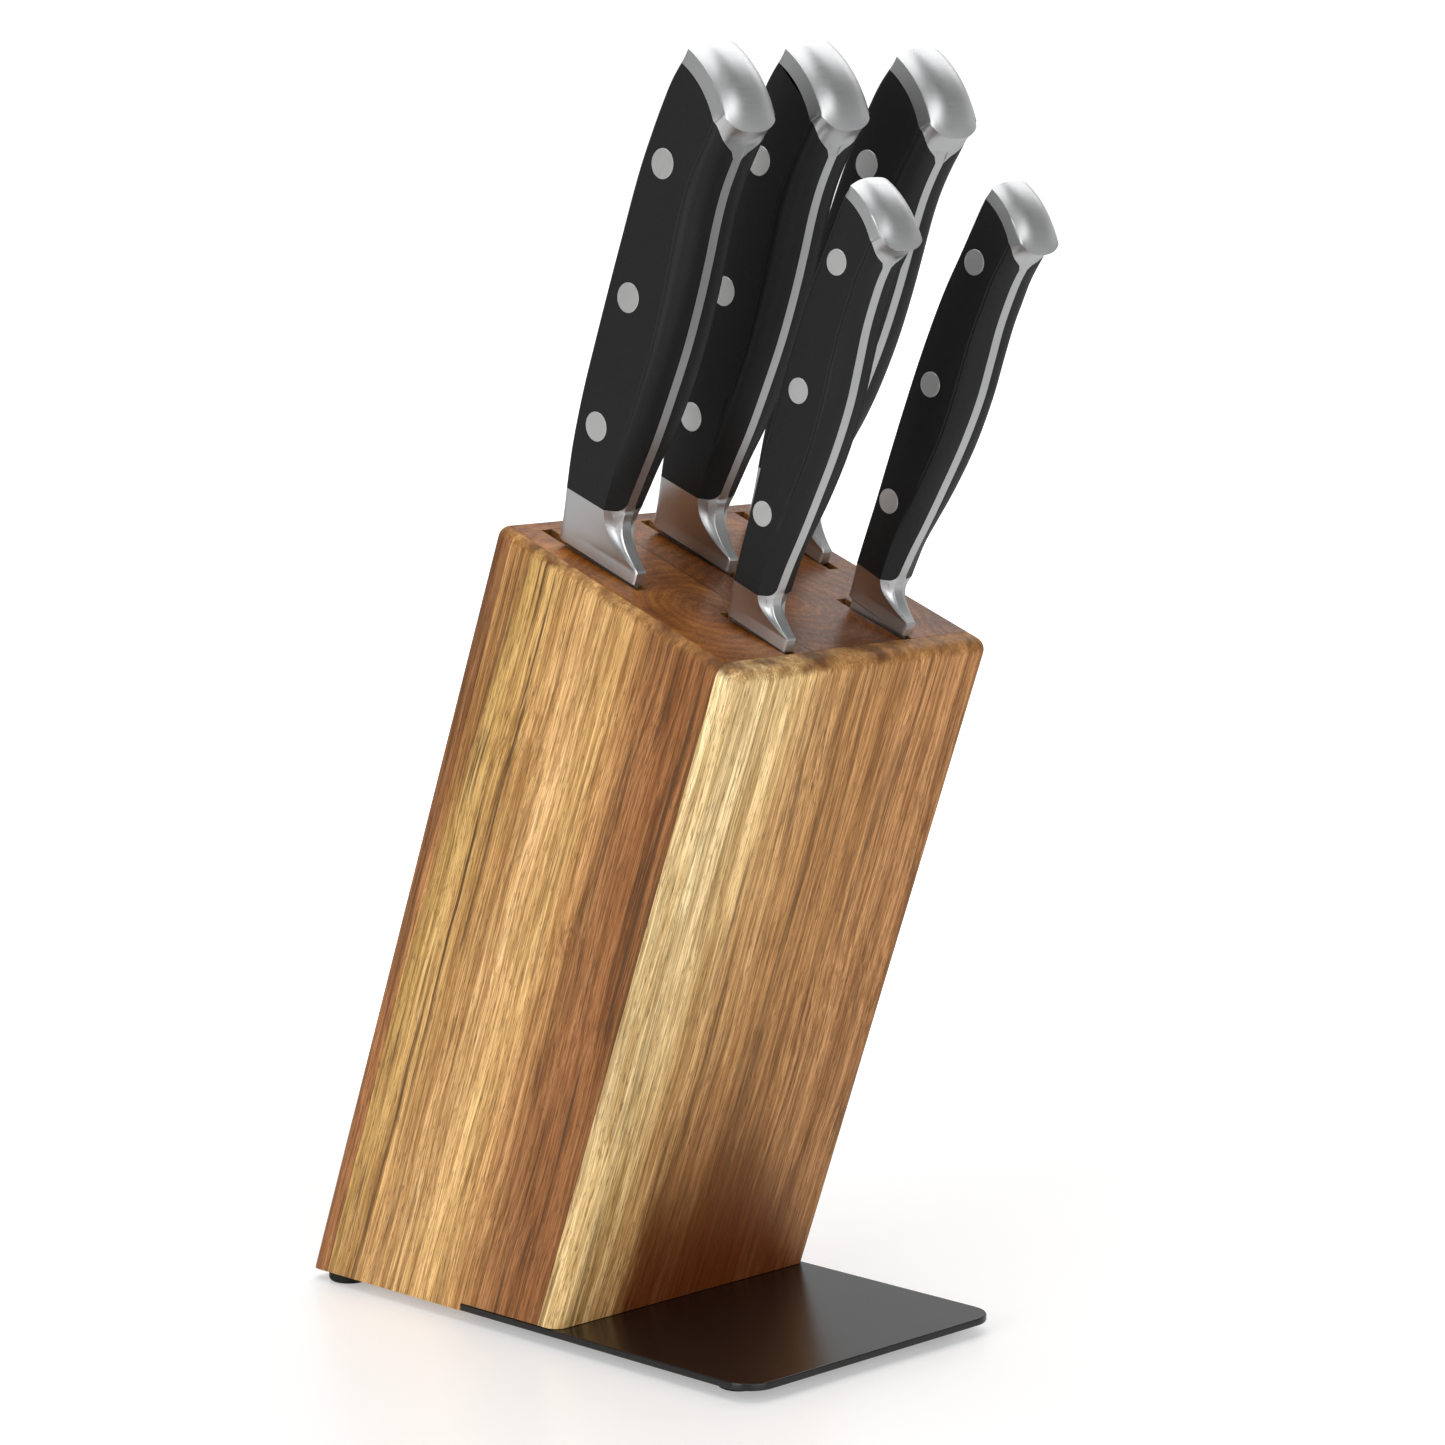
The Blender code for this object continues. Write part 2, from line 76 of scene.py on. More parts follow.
# Stations along a handle: (h, spine s, belly s, crease s)
LARGE = {
    "half": 8.8, "neck_half": 6.7, "rivet_r": 3.8, "rivets": (35.6, 69.9, 104.7),
    "bolster": {"top": 16.3, "heel": 19.7, "toe": -7.3, "toe_half": 4.2, "toe_lift": 1.6},
    "stations": ((16.3, -6.9, 10.3, 8.0), (26.0, -7.5, 11.7, 9.0), (37.0, -7.7, 13.4, 10.2),
                 (48.5, -7.8, 14.5, 11.2), (62.0, -7.9, 15.4, 11.8), (75.0, -7.9, 15.4, 11.2),
                 (85.5, -7.8, 14.9, 10.3), (95.5, -7.7, 14.2, 9.6), (102.5, -7.4, 14.2, 9.8),
                 (109.0, -6.8, 14.9, 10.7), (116.5, -5.9, 16.2, 12.4), (125.0, -4.4, 17.2, 13.2),
                 (134.0, -1.2, 18.0, 13.6)),
    "cap": {"centre": (-8.0, 104.0), "inner_r": 26.2, "outer_r": 30.2, "back": 77.0, "root_h": 111.5,
            "end": (15.0, 122.4), "nose": 3.2, "nose_drop": 3.0, "crown": 2.9},
    "fillet": 2.6, "belly_power": 2.5,
}
SMALL = {
    "half": 7.2, "neck_half": 6.0, "rivet_r": 3.25, "rivets": (31.6, 64.5, 98.0),
    "bolster": {"top": 11.8, "heel": 14.9, "toe": -5.0, "toe_half": 3.6, "toe_lift": 1.2},
    "stations": ((11.8, -4.3, 6.8, 5.2), (20.4, -4.4, 7.5, 5.1), (28.8, -4.5, 8.6, 5.8),
                 (39.3, -5.0, 9.7, 7.2), (52.8, -5.8, 10.8, 8.4), (65.4, -6.4, 10.9, 8.0),
                 (75.7, -6.6, 9.9, 7.1), (83.8, -6.5, 9.0, 6.7), (89.8, -6.2, 8.8, 6.8),
                 (97.0, -5.5, 9.0, 6.9), (104.0, -4.9, 10.2, 7.9), (111.0, -4.3, 11.5, 8.6),
                 (119.0, -3.2, 12.5, 9.4)),
    "cap": {"centre": (-7.3, 93.4), "inner_r": 20.5, "outer_r": 23.6, "back": 78.5, "root_h": 100.4,
            "end": (10.7, 108.7), "nose": 2.6, "nose_drop": 2.4, "crown": 2.3},
    "fillet": 2.1, "belly_power": 2.2,
}
TANG_HALF = 1.45
BLADE_HALF = 1.15
GROUND_W = 0.8               # width of the bevel that sharpens a blade
TIP_W = 0.9                  # least width of a blade at its tip
SCALLOP_DEPTH, PLAIN_TIP = 0.9, 14.0
HEEL_H, HEEL_HALF = 3.6, TANG_HALF + 0.15
SPINE_SWELL, RIDGE_SWELL = 1.3, 0.85     # how the bolster thickens upwards at its back and ridge
FRONT_SWEEP, RIDGE_SWEEP = 2.6, 2.9      # how its front and ridge sweep forward to the heel
BOLSTER_LIFT = 0.5           # gap between the bolster and the top of the block
SPINE_EDGE_R = 1.3
RIVET_PROUD = 0.05
HAIR = 0.02                  # gap round a scale
# name: (handle, x, s, lean in degrees, lift, blade as (depth, spine s, edge s), number of scallops)
KNIVES = {
    "chef_knife": (LARGE, -35.3, 22.3, 0.0, 0.0,
                   ((0, -6.7, 19.6), (60, -6.6, 19.2), (110, -6.4, 16.8), (155, -5.6, 10.6),
                    (185, -4.2, 2.8), (200, -2.8, -2.2)), 0),
    "bread_knife": (LARGE, 0.0, 20.2, 0.3, 0.0,
                    ((0, -6.7, 19.6), (20, -6.7, 18.8), (170, -6.3, 17.6), (190, -5.0, 14.6),
                     (200, 3.0, 9.6)), 15),
    "carving_knife": (LARGE, 35.3, 20.1, 2.6, 0.4,
                      ((0, -6.7, 19.6), (12, -6.6, 17.6), (110, -6.2, 15.6), (160, -5.0, 10.6),
                       (188, -3.2, 4.0), (200, -1.6, -1.0)), 0),
    "utility_knife": (SMALL, -21.6, 68.4, 1.5, 0.0,
                      ((0, -4.7, 14.6), (10, -4.6, 13.4), (70, -4.0, 12.2), (105, -2.6, 8.6),
                       (130, 1.2, 1.9)), 0),
    "paring_knife": (SMALL, 21.4, 69.1, 4.6, 1.6,
                     ((0, -4.7, 14.6), (6, -4.6, 13.0), (45, -3.4, 11.6), (68, -0.8, 8.6),
                      (82, 3.4, 4.2)), 0),
}
FRONT_ROW = ("utility_knife", "paring_knife")

UPRIGHT = Matrix.Translation(Vector((0.0, BACK_EDGE_Y, 0.0)) * MM)
BLOCK = Matrix.Translation(Vector((0.0, BACK_EDGE_Y, FOOT_H)) * MM) @ Matrix.Rotation(LEAN, 4, "X")


# ---------------------------------------------------------------- node helpers

def fill_ramp(node, stops):
    """Give a ramp node its stops, which are (position, colour)."""
    elements = node.color_ramp.elements
    while len(elements) < len(stops):
        elements.new(0.5)
    for element, (position, colour) in zip(elements, stops):
        element.position, element.color = position, (*colour, 1.0)


class Nodes:
    """A material's node tree, with short calls for what the finishes need.  Its place is measured in
    metres along the block's own axes, for pieces whose meshes are in the shared frame."""

    def __init__(self, name):
        self.mat = bpy.data.materials.new(name)
        self.mat.use_nodes = True
        self.tree = self.mat.node_tree
        self.shader = self.tree.nodes["Principled BSDF"]
        to_block = BLOCK.inverted()
        node = self.new("ShaderNodeMapping", vector_type="POINT")
        node.inputs["Location"].default_value = to_block.to_translation()
        node.inputs["Rotation"].default_value = to_block.to_euler()
        self.put(self.new("ShaderNodeTexCoord").outputs["Object"], node.inputs["Vector"])
        self.place = node.outputs[0]

    def new(self, kind, **values):
        node = self.tree.nodes.new(kind)
        for key, value in values.items():
            setattr(node, key, value)
        return node

    def put(self, value, socket):
        if isinstance(value, bpy.types.NodeSocket):
            self.tree.links.new(value, socket)
        else:
            socket.default_value = value

    def math(self, operation, a, b=0.0, c=0.0, clamp=False):
        node = self.new("ShaderNodeMath", operation=operation, use_clamp=clamp)
        for socket, value in zip(node.inputs, (a, b, c)):
            self.put(value, socket)
        return node.outputs[0]

    def plus(self, a, b, clamp=False):
        return self.math("ADD", a, b, clamp=clamp)

    def times(self, a, b, clamp=False):
        return self.math("MULTIPLY", a, b, clamp=clamp)

    def line(self, value, gain, offset):
        """gain * value + offset"""
        return self.math("MULTIPLY_ADD", value, gain, offset)

    def stretch(self, scale, shift=(0.0, 0.0, 0.0), source=None):
        """The place on the object, scaled per axis (cycles per metre) and shifted."""
        node = self.new("ShaderNodeMapping")
        self.put(source or self.place, node.inputs["Vector"])
        node.inputs["Scale"].default_value = scale
        node.inputs["Location"].default_value = shift
        return node.outputs[0]

    def noise(self, vector, detail=3.0, rough=0.5):
        node = self.new("ShaderNodeTexNoise")
        self.put(vector, node.inputs["Vector"])
        node.inputs["Scale"].default_value = 1.0
        node.inputs["Detail"].default_value = detail
        node.inputs["Roughness"].default_value = rough
        return node.outputs["Fac"]

    def step(self, value, low, high, out_low=0.0, out_high=1.0):
        """Smooth step of value between low and high."""
        node = self.new("ShaderNodeMapRange", interpolation_type="SMOOTHSTEP")
        for key, item in (("Value", value), ("From Min", low), ("From Max", high),
                          ("To Min", out_low), ("To Max", out_high)):
            self.put(item, node.inputs[key])
        return node.outputs[0]

    def ramp(self, value, stops):
        node = self.new("ShaderNodeValToRGB")
        self.put(value, node.inputs[0])
        fill_ramp(node, stops)
        return node.outputs[0]

    def mix(self, factor, a, b, blend="MIX"):
        node = self.new("ShaderNodeMix", data_type="RGBA", blend_type=blend)
        for socket, value in ((node.inputs[0], factor), (node.inputs[6], a), (node.inputs[7], b)):
            if isinstance(value, tuple):
                value = (*value, 1.0)
            self.put(value, socket)
        return node.outputs[2]

    def bump(self, height, distance):
        node = self.new("ShaderNodeBump")
        self.put(height, node.inputs["Height"])
        node.inputs["Distance"].default_value = distance
        node.inputs["Strength"].default_value = 1.0
        self.put(node.outputs[0], self.shader.inputs["Normal"])

    def set(self, **values):
        for key, value in values.items():
            self.put(value, self.shader.inputs[key.replace("_", " ")])


def srgb(red, green, blue):
    """Linear colour from display values of 0 to 255."""
    def linear(v):
        v /= 255.0
        return v / 12.92 if v <= 0.04045 else ((v + 0.055) / 1.055) ** 2.4
    return (linear(red), linear(green), linear(blue))


# ---------------------------------------------------------------- finishes

DARK_STREAK, PORE_BROWN = srgb(84, 58, 34), srgb(88, 56, 32)
KNOT_BROWN, KNOT_SIZE = srgb(128, 78, 42), (3.6, 5.0)
EDGE_LIGHT, EDGE_DARK = srgb(178, 128, 68), srgb(98, 60, 30)
# dark patch of figure low on the front board, deepened by a painted reflection of the black foot plate
DARK_FIGURE_AND_PLATE_REFLECTION = srgb(94, 37, 0)
TOP_TONES = ((0.15, srgb(168, 108, 46)), (0.38, srgb(136, 80, 28)), (0.60, srgb(104, 57, 17)),
             (0.95, srgb(62, 31, 7)))
GLUE_LINE = srgb(48, 26, 14)

# Colours across a board: (place in mm along the axis, display colour, how strongly it is streaked)
FRONT_TONES = ((-47, (232, 202, 146), 0.30), (-38, (228, 193, 134), 0.42), (-31, (212, 172, 112), 0.55),
               (-25, (190, 145, 90), 0.50), (-10, (184, 134, 80), 0.50), (10, (173, 122, 70), 0.55),
               (28, (176, 124, 74), 0.50), (47, (168, 116, 68), 0.60))
BACK_TONES = ((-47, (150, 98, 56), 0.5), (-20, (162, 110, 66), 0.5), (12, (176, 128, 78), 0.5),
              (30, (156, 104, 60), 0.6), (47, (146, 94, 54), 0.5))
CORE_TONES = ((6, (172, 124, 72), 0.5), (9, (188, 148, 84), 0.9), (19, (188, 144, 84), 0.9),
              (27, (200, 152, 94), 0.55), (38, (208, 162, 104), 0.30), (48, (205, 160, 98), 0.35),
              (55, (186, 136, 82), 0.55), (62, (156, 106, 62), 0.75), (72, (142, 91, 50), 0.85),
              (78, (136, 86, 46), 0.85), (85, (152, 101, 57), 0.6))


def acacia(name, axis, tones, drift=0.0, knot=None, dark_figure_and_reflection=False):
    """Oiled acacia sawn along the grain.  The colour changes along the axis given; drift slants the
    figure, in metres sideways per metre of height; knot is a place on the axis and a height."""
    n = Nodes(name)
    split = n.new("ShaderNodeSeparateXYZ")
    n.put(n.place, split.inputs[0])
    across, depth, along = split.outputs
    sway = n.noise(n.stretch((7.0, 7.0, 5.0), (1.7, 0.4, 0.9)), 2.0, 0.45)
    ripple = n.noise(n.stretch((40.0, 40.0, 14.0), (4.2, 1.1, 2.3)), 2.0, 0.5)
    shift = n.plus(n.line(sway, 0.016, -0.008), n.line(ripple, 0.0036, -0.0018))
    # the figure and every streak in it bend together
    flow = n.new("ShaderNodeCombineXYZ")
    n.put(n.plus(across, shift), flow.inputs[0])
    n.put(n.plus(depth, shift), flow.inputs[1])
    n.put(along, flow.inputs[2])
    flow = flow.outputs[0]
    side = across if axis == "x" else n.times(depth, -1.0)
    place = n.plus(side, shift)
    low, high = tones[0][0] * MM, tones[-1][0] * MM
    if drift:
        fade = n.step(side, low + 0.35 * (high - low), low + 0.75 * (high - low), 1.0, 0.0)
        slant = n.times(n.math("SUBTRACT", along, 0.14), drift)
        place = n.plus(place, n.times(slant, fade))
    position = n.math("DIVIDE", n.math("SUBTRACT", place, low), high - low, clamp=True)
    stops = [((at * MM - low) / (high - low), tone, share) for at, tone, share in tones]
    colour = n.ramp(position, [(at, srgb(*tone)) for at, tone, _ in stops])
    streaked = n.ramp(position, [(at, (share,) * 3) for at, _, share in stops])
    # grain of three widths; where it is darker it is redder too
    broad = n.noise(n.stretch((190.0, 190.0, 5.0), (0.3, 5.0, 1.0), flow), 3.0, 0.6)
    threads = n.noise(n.stretch((700.0, 700.0, 11.0), (1.1, 4.2, 2.0), flow), 4.0, 0.7)
    fibres = n.noise(n.stretch((2300.0, 2300.0, 60.0), (0.0, 2.0, 7.0), flow), 2.0, 0.6)
    shade = n.line(n.step(broad, 0.36, 0.64), 0.40, 0.80)
    shade = n.times(shade, n.line(n.step(threads, 0.38, 0.58), 0.46, 0.74))
    shade = n.times(shade, n.line(n.step(fibres, 0.34, 0.64), 0.46, 0.77))
    grey = n.new("ShaderNodeCombineXYZ")
    for socket, power in zip(grey.inputs, (1.00, 1.22, 1.60)):
        n.put(n.math("POWER", shade, power), socket)
    colour = n.mix(1.0, colour, grey.outputs[0], "MULTIPLY")
    # dark mineral streaks, long and thin, in bundles
    bundle = n.step(n.noise(n.stretch((70.0, 70.0, 6.0), (2.0, 9.0, 3.0), flow), 2.0), 0.44, 0.60)
    streaks = n.noise(n.stretch((520.0, 520.0, 9.0), (3.1, 0.2, 4.0), flow), 4.0, 0.66)
    line = n.step(streaks, n.line(bundle, -0.10, 0.57), 0.64)
    colour = n.mix(n.times(line, streaked), colour, DARK_STREAK)
    if knot:                                         # small, with rings round it
        ds = n.math("DIVIDE", n.math("SUBTRACT", side, knot[0] * MM), KNOT_SIZE[0] * MM)
        dh = n.math("DIVIDE", n.math("SUBTRACT", along, knot[1] * MM), KNOT_SIZE[1] * MM)
        reach = n.math("SQRT", n.plus(n.times(ds, ds), n.times(dh, dh)))
        reach = n.plus(reach, n.line(threads, 0.7, -0.35))
        rings = n.line(n.math("SINE", n.times(reach, 12.0)), 0.5, 0.5)
        mask = n.times(n.step(reach, 1.6, 0.3), n.line(rings, 0.50, 0.10))
        colour = n.mix(mask, colour, KNOT_BROWN)
    # dark figure of the wood, with a painted reflection of the black foot plate below it added in
    if dark_figure_and_reflection:                                        # low down, with a slanting right hand edge
        ragged = n.line(streaks, 0.016, -0.008)
        lower = n.step(n.plus(along, n.times(ragged, 2.0)), 0.118, 0.040)
        start = n.step(n.plus(across, ragged), -0.030, -0.021)
        edge = n.line(along, -0.75, 0.076)
        end = n.step(n.math("SUBTRACT", n.plus(across, ragged), edge), 0.012, -0.016)
        figure_and_reflection = n.times(n.times(lower, start), end)
        colour = n.mix(n.times(figure_and_reflection, n.line(threads, 0.9, 0.45), clamp=True), colour, DARK_FIGURE_AND_PLATE_REFLECTION)
    # end grain starts to show where the top edges are rounded
    patchy = n.noise(n.stretch((90.0, 90.0, 90.0), (3.0, 7.0, 1.0)), 3.0, 0.6)
    turn = n.step(along, (BLOCK_L - 3.6) * MM, (BLOCK_L - 1.0) * MM)
    turn = n.times(turn, n.line(n.step(patchy, 0.36, 0.62), 0.55, 0.35))
    colour = n.mix(turn, colour, n.ramp(patchy, [(0.36, EDGE_LIGHT), (0.62, EDGE_DARK)]))
    pores = n.noise(n.stretch((3000.0, 3000.0, 260.0), (5.0, 8.0, 2.0), flow), 1.0, 0.5)
    pore = n.step(pores, 0.60, 0.72)
    colour = n.mix(n.times(pore, 0.50), colour, PORE_BROWN)
    n.set(Base_Color=colour, Specular_IOR_Level=0.20, Coat_Weight=0.03, Coat_Roughness=0.34)
    n.put(n.step(fibres, 0.3, 0.7, 0.46, 0.58), n.shader.inputs["Roughness"])
    n.bump(n.plus(n.times(pore, -0.8), n.times(threads, 0.35)), 0.00010)
    return n.mat


def end_grain(name, seam_x, pith):
    """The sawn tops of the boards: dark, with growth rings around the pith and a varnished sheen."""
    n = Nodes(name)
    split = n.new("ShaderNodeSeparateXYZ")
    n.put(n.place, split.inputs[0])
    across, depth, _ = split.outputs
    warp = n.noise(n.stretch((60.0, 60.0, 10.0), (1.0, 3.0, 2.0)), 3.0, 0.5)
    side = n.step(across, (seam_x - 0.2) * MM, (seam_x + 0.2) * MM)
    dx = n.math("SUBTRACT", n.math("SUBTRACT", across, pith[0] * MM), n.times(side, 0.030))
    ds = n.plus(depth, pith[1] * MM)
    reach = n.math("SQRT", n.plus(n.times(dx, dx), n.times(ds, ds)))
    reach = n.plus(reach, n.times(warp, 0.012))
    wide = n.line(n.math("SINE", n.times(reach, 1700.0)), 0.5, 0.5)
    fine = n.line(n.math("SINE", n.times(reach, 5200.0)), 0.5, 0.5)
    cloud = n.noise(n.stretch((50.0, 50.0, 10.0), (6.0, 1.0, 2.0)), 3.0, 0.55)
    speck = n.noise(n.stretch((1200.0, 1200.0, 60.0), (0.0, 1.0, 5.0)), 2.0, 0.6)
    tone = n.line(wide, 0.14, n.line(cloud, 1.1, -0.24))
    tone = n.plus(tone, n.line(fine, 0.07, n.times(side, 0.10)))
    tone = n.plus(tone, n.line(speck, 0.30, -0.10), clamp=True)
    colour = n.ramp(tone, TOP_TONES)
    offset = n.math("ABSOLUTE", n.math("SUBTRACT", across, seam_x * MM))
    colour = n.mix(n.step(offset, 0.0005, 0.0002, 0.0, 0.8), colour, GLUE_LINE)
    n.set(Base_Color=colour, Specular_IOR_Level=0.18, Coat_Weight=0.07, Coat_Roughness=0.24)
    n.put(n.step(speck, 0.3, 0.7, 0.34, 0.46), n.shader.inputs["Roughness"])
    n.bump(speck, 0.00006)
    return n.mat


def brushed_steel(name, grain=(90.0, 900.0, 5200.0), tint=(0.54, 0.545, 0.55), rough=(0.34, 0.42)):
    """Satin steel, with fine brushing across the piece."""
    n = Nodes(name)
    lines = n.noise(n.stretch(grain, (0.0, 0.0, 3.0)), 3.0, 0.7)
    patches = n.noise(n.stretch((140.0, 140.0, 140.0), (4.0, 2.0, 1.0)), 2.0, 0.5)
    shade = n.plus(n.line(lines, 0.10, 0.93), n.line(patches, 0.08, -0.03))
    base = n.mix(1.0, tint, n.mix(shade, (0.0, 0.0, 0.0), (1.0, 1.0, 1.0)), "MULTIPLY")
    n.set(Base_Color=base, Metallic=1.0)
    n.put(n.step(lines, 0.3, 0.7, *rough), n.shader.inputs["Roughness"])
    n.bump(lines, 0.000006)
    return n.mat


def black_handle(name):
    """Moulded black handle material: near matt, with a very fine grain."""
    n = Nodes(name)
    grit = n.noise(n.stretch((1500.0, 1500.0, 900.0)), 3.0, 0.6)
    cloud = n.noise(n.stretch((90.0, 90.0, 60.0), (3.0, 1.0, 2.0)), 2.0)
    colour = n.mix(grit, srgb(14, 14, 14), srgb(24, 24, 25))
    n.set(Base_Color=colour, Specular_IOR_Level=0.26)
    n.put(n.line(cloud, 0.10, 0.46), n.shader.inputs["Roughness"])
    n.bump(grit, 0.00005)
    return n.mat


def painted_steel(name):
    """Black powder coat on the foot plate."""
    n = Nodes(name)
    peel = n.noise(n.stretch((1300.0, 1300.0, 1300.0)), 2.0, 0.5)
    cloud = n.noise(n.stretch((35.0, 35.0, 35.0), (1.0, 2.0, 3.0)), 2.0)
    n.set(Base_Color=n.mix(peel, srgb(11, 10, 10), srgb(19, 18, 18)), Specular_IOR_Level=0.5)
    n.put(n.line(cloud, 0.06, 0.21), n.shader.inputs["Roughness"])
    n.bump(peel, 0.00002)
    return n.mat


def rubber(name):
    """Moulded black rubber of the feet."""
    n = Nodes(name)
    dust = n.noise(n.stretch((700.0, 700.0, 700.0)), 3.0, 0.6)
    n.set(Base_Color=n.mix(dust, srgb(17, 17, 17), srgb(31, 31, 30)), Specular_IOR_Level=0.3)
    n.put(n.line(dust, 0.2, 0.6), n.shader.inputs["Roughness"])
    n.bump(dust, 0.00004)
    return n.mat


# ---------------------------------------------------------------- mesh helpers

def to_object(name, bm, place, mats, sharp=28.0):
    """Write a bmesh built in millimetres (x, s, h) as a smooth shaded object in the given frame."""
    for vert in bm.verts:
        x, s, h = vert.co
        vert.co = Vector((x, -s, h)) * MM
    bmesh.ops.recalc_face_normals(bm, faces=bm.faces)
    mesh = bpy.data.meshes.new(name)
    bm.to_mesh(mesh)
    bm.free()
    for mat in mats:
        mesh.materials.append(mat)
    mesh.shade_smooth()
    mesh.set_sharp_from_angle(angle=math.radians(sharp))
    obj = bpy.data.objects.new(name, mesh)
    obj.matrix_world = place
    bpy.context.scene.collection.objects.link(obj)
    return obj


def finish_piece(obj, body, nodes):
    """Put the mesh in the shared frame, and tell the frame what the piece is."""
    obj.data.transform(obj.matrix_world)
    obj.matrix_world = Matrix()
    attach(obj, body)
    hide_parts(*nodes)


def bake_modifiers(obj):
    """Swap the object's mesh for the one its modifiers make."""
    graph = bpy.context.evaluated_depsgraph_get()
    graph.update()
    mesh = bpy.data.meshes.new_from_object(obj.evaluated_get(graph))
    obj.modifiers.clear()
    obj.data = mesh


def flatten_shading(obj, sharp):
    """Smooth shading with flat looking faces, and edges sharper than this angle kept."""
    obj.data.shade_smooth()
    obj.data.set_sharp_from_angle(angle=math.radians(sharp))
    flat = obj.modifiers.new("flat_faces", "WEIGHTED_NORMAL")
    flat.keep_sharp = True


def box_cutter(name, boxes, place):
    """Object made of plain boxes, to cut others with; boxes are (centre, size) in x, s, h."""
    bm = bmesh.new()
    for (x, s, h), (width, depth, height) in boxes:
        centre = Vector((x, -s, h)) * MM
        size = Matrix.Diagonal((width * MM, depth * MM, height * MM, 1.0))
        bmesh.ops.create_cube(bm, size=1.0, matrix=Matrix.Translation(centre) @ size)
    mesh = bpy.data.meshes.new(name)
    bm.to_mesh(mesh)
    bm.free()
    cutter = bpy.data.objects.new(name, mesh)
    cutter.matrix_world = place
    bpy.context.scene.collection.objects.link(cutter)
    return cutter


def skin(bm, rings, caps=(True, True)):
    """Join rings of equal length into a tube; returns the rows of vertices."""
    rows = [[bm.verts.new(point) for point in ring] for ring in rings]
    count = len(rows[0])
    for low, high in zip(rows, rows[1:]):
        for i in range(count):
            j = (i + 1) % count
            bm.faces.new((low[i], low[j], high[j], high[i]))
    if caps[0]:
        bm.faces.new(rows[0][::-1])
    if caps[1]:
        bm.faces.new(rows[-1])
    return rows


def spun(bm, profile, sides, x=0.0, s=0.0):
    """Turned body about the upright line at (x, s); profile is (radius, h) pairs."""
    angles = [2 * math.pi * i / sides for i in range(sides)]
    skin(bm, [[(x + r * math.cos(a), s + r * math.sin(a), h) for a in angles] for r, h in profile])


# ---------------------------------------------------------------- block

def under(s, lift=0.0):
    """h of the block's underside at s, raised by lift."""
    return s * math.tan(LEAN) + lift / math.cos(LEAN)


def prism(outline, half):
    """A board: its side outline in (s, h), from -half to half across."""
    bm = bmesh.new()
    skin(bm, [[(x, s, h) for s, h in outline] for x in (-half, half)])
    return bm


def round_edges(obj, chosen):
    """Round with EDGE_R the edges whose two ends (in mm) both satisfy chosen."""
    mesh = obj.data
    weights = mesh.attributes.new("bevel_weight_edge", "FLOAT", "EDGE")
    points = [(v.co.x / MM, -v.co.y / MM, v.co.z / MM) for v in mesh.vertices]
    for edge in mesh.edges:
        a, b = (points[i] for i in edge.vertices)
        weights.data[edge.index].value = 1.0 if chosen(a, b) else 0.0
    bevel = obj.modifiers.new("round", "BEVEL")
    bevel.limit_method = "WEIGHT"
    bevel.width = EDGE_R * MM
    bevel.segments = 9


def ease_edges(obj, width):
    """Take the sharpness off every edge that is still square."""
    bevel = obj.modifiers.new("ease", "BEVEL")
    bevel.limit_method = "ANGLE"
    bevel.angle_limit = math.radians(50)
    bevel.width = width * MM
    bevel.segments = 2
    bevel.use_clamp_overlap = True
    bake_modifiers(obj)
    flatten_shading(obj, 40)


def face_materials(obj):
    """Second material (end grain) on the flat top across the grain."""
    for polygon in obj.data.polygons:
        if polygon.normal.z > 0.95 and polygon.center.z > (BLOCK_L - 8.0) * MM:
            polygon.material_index = 1


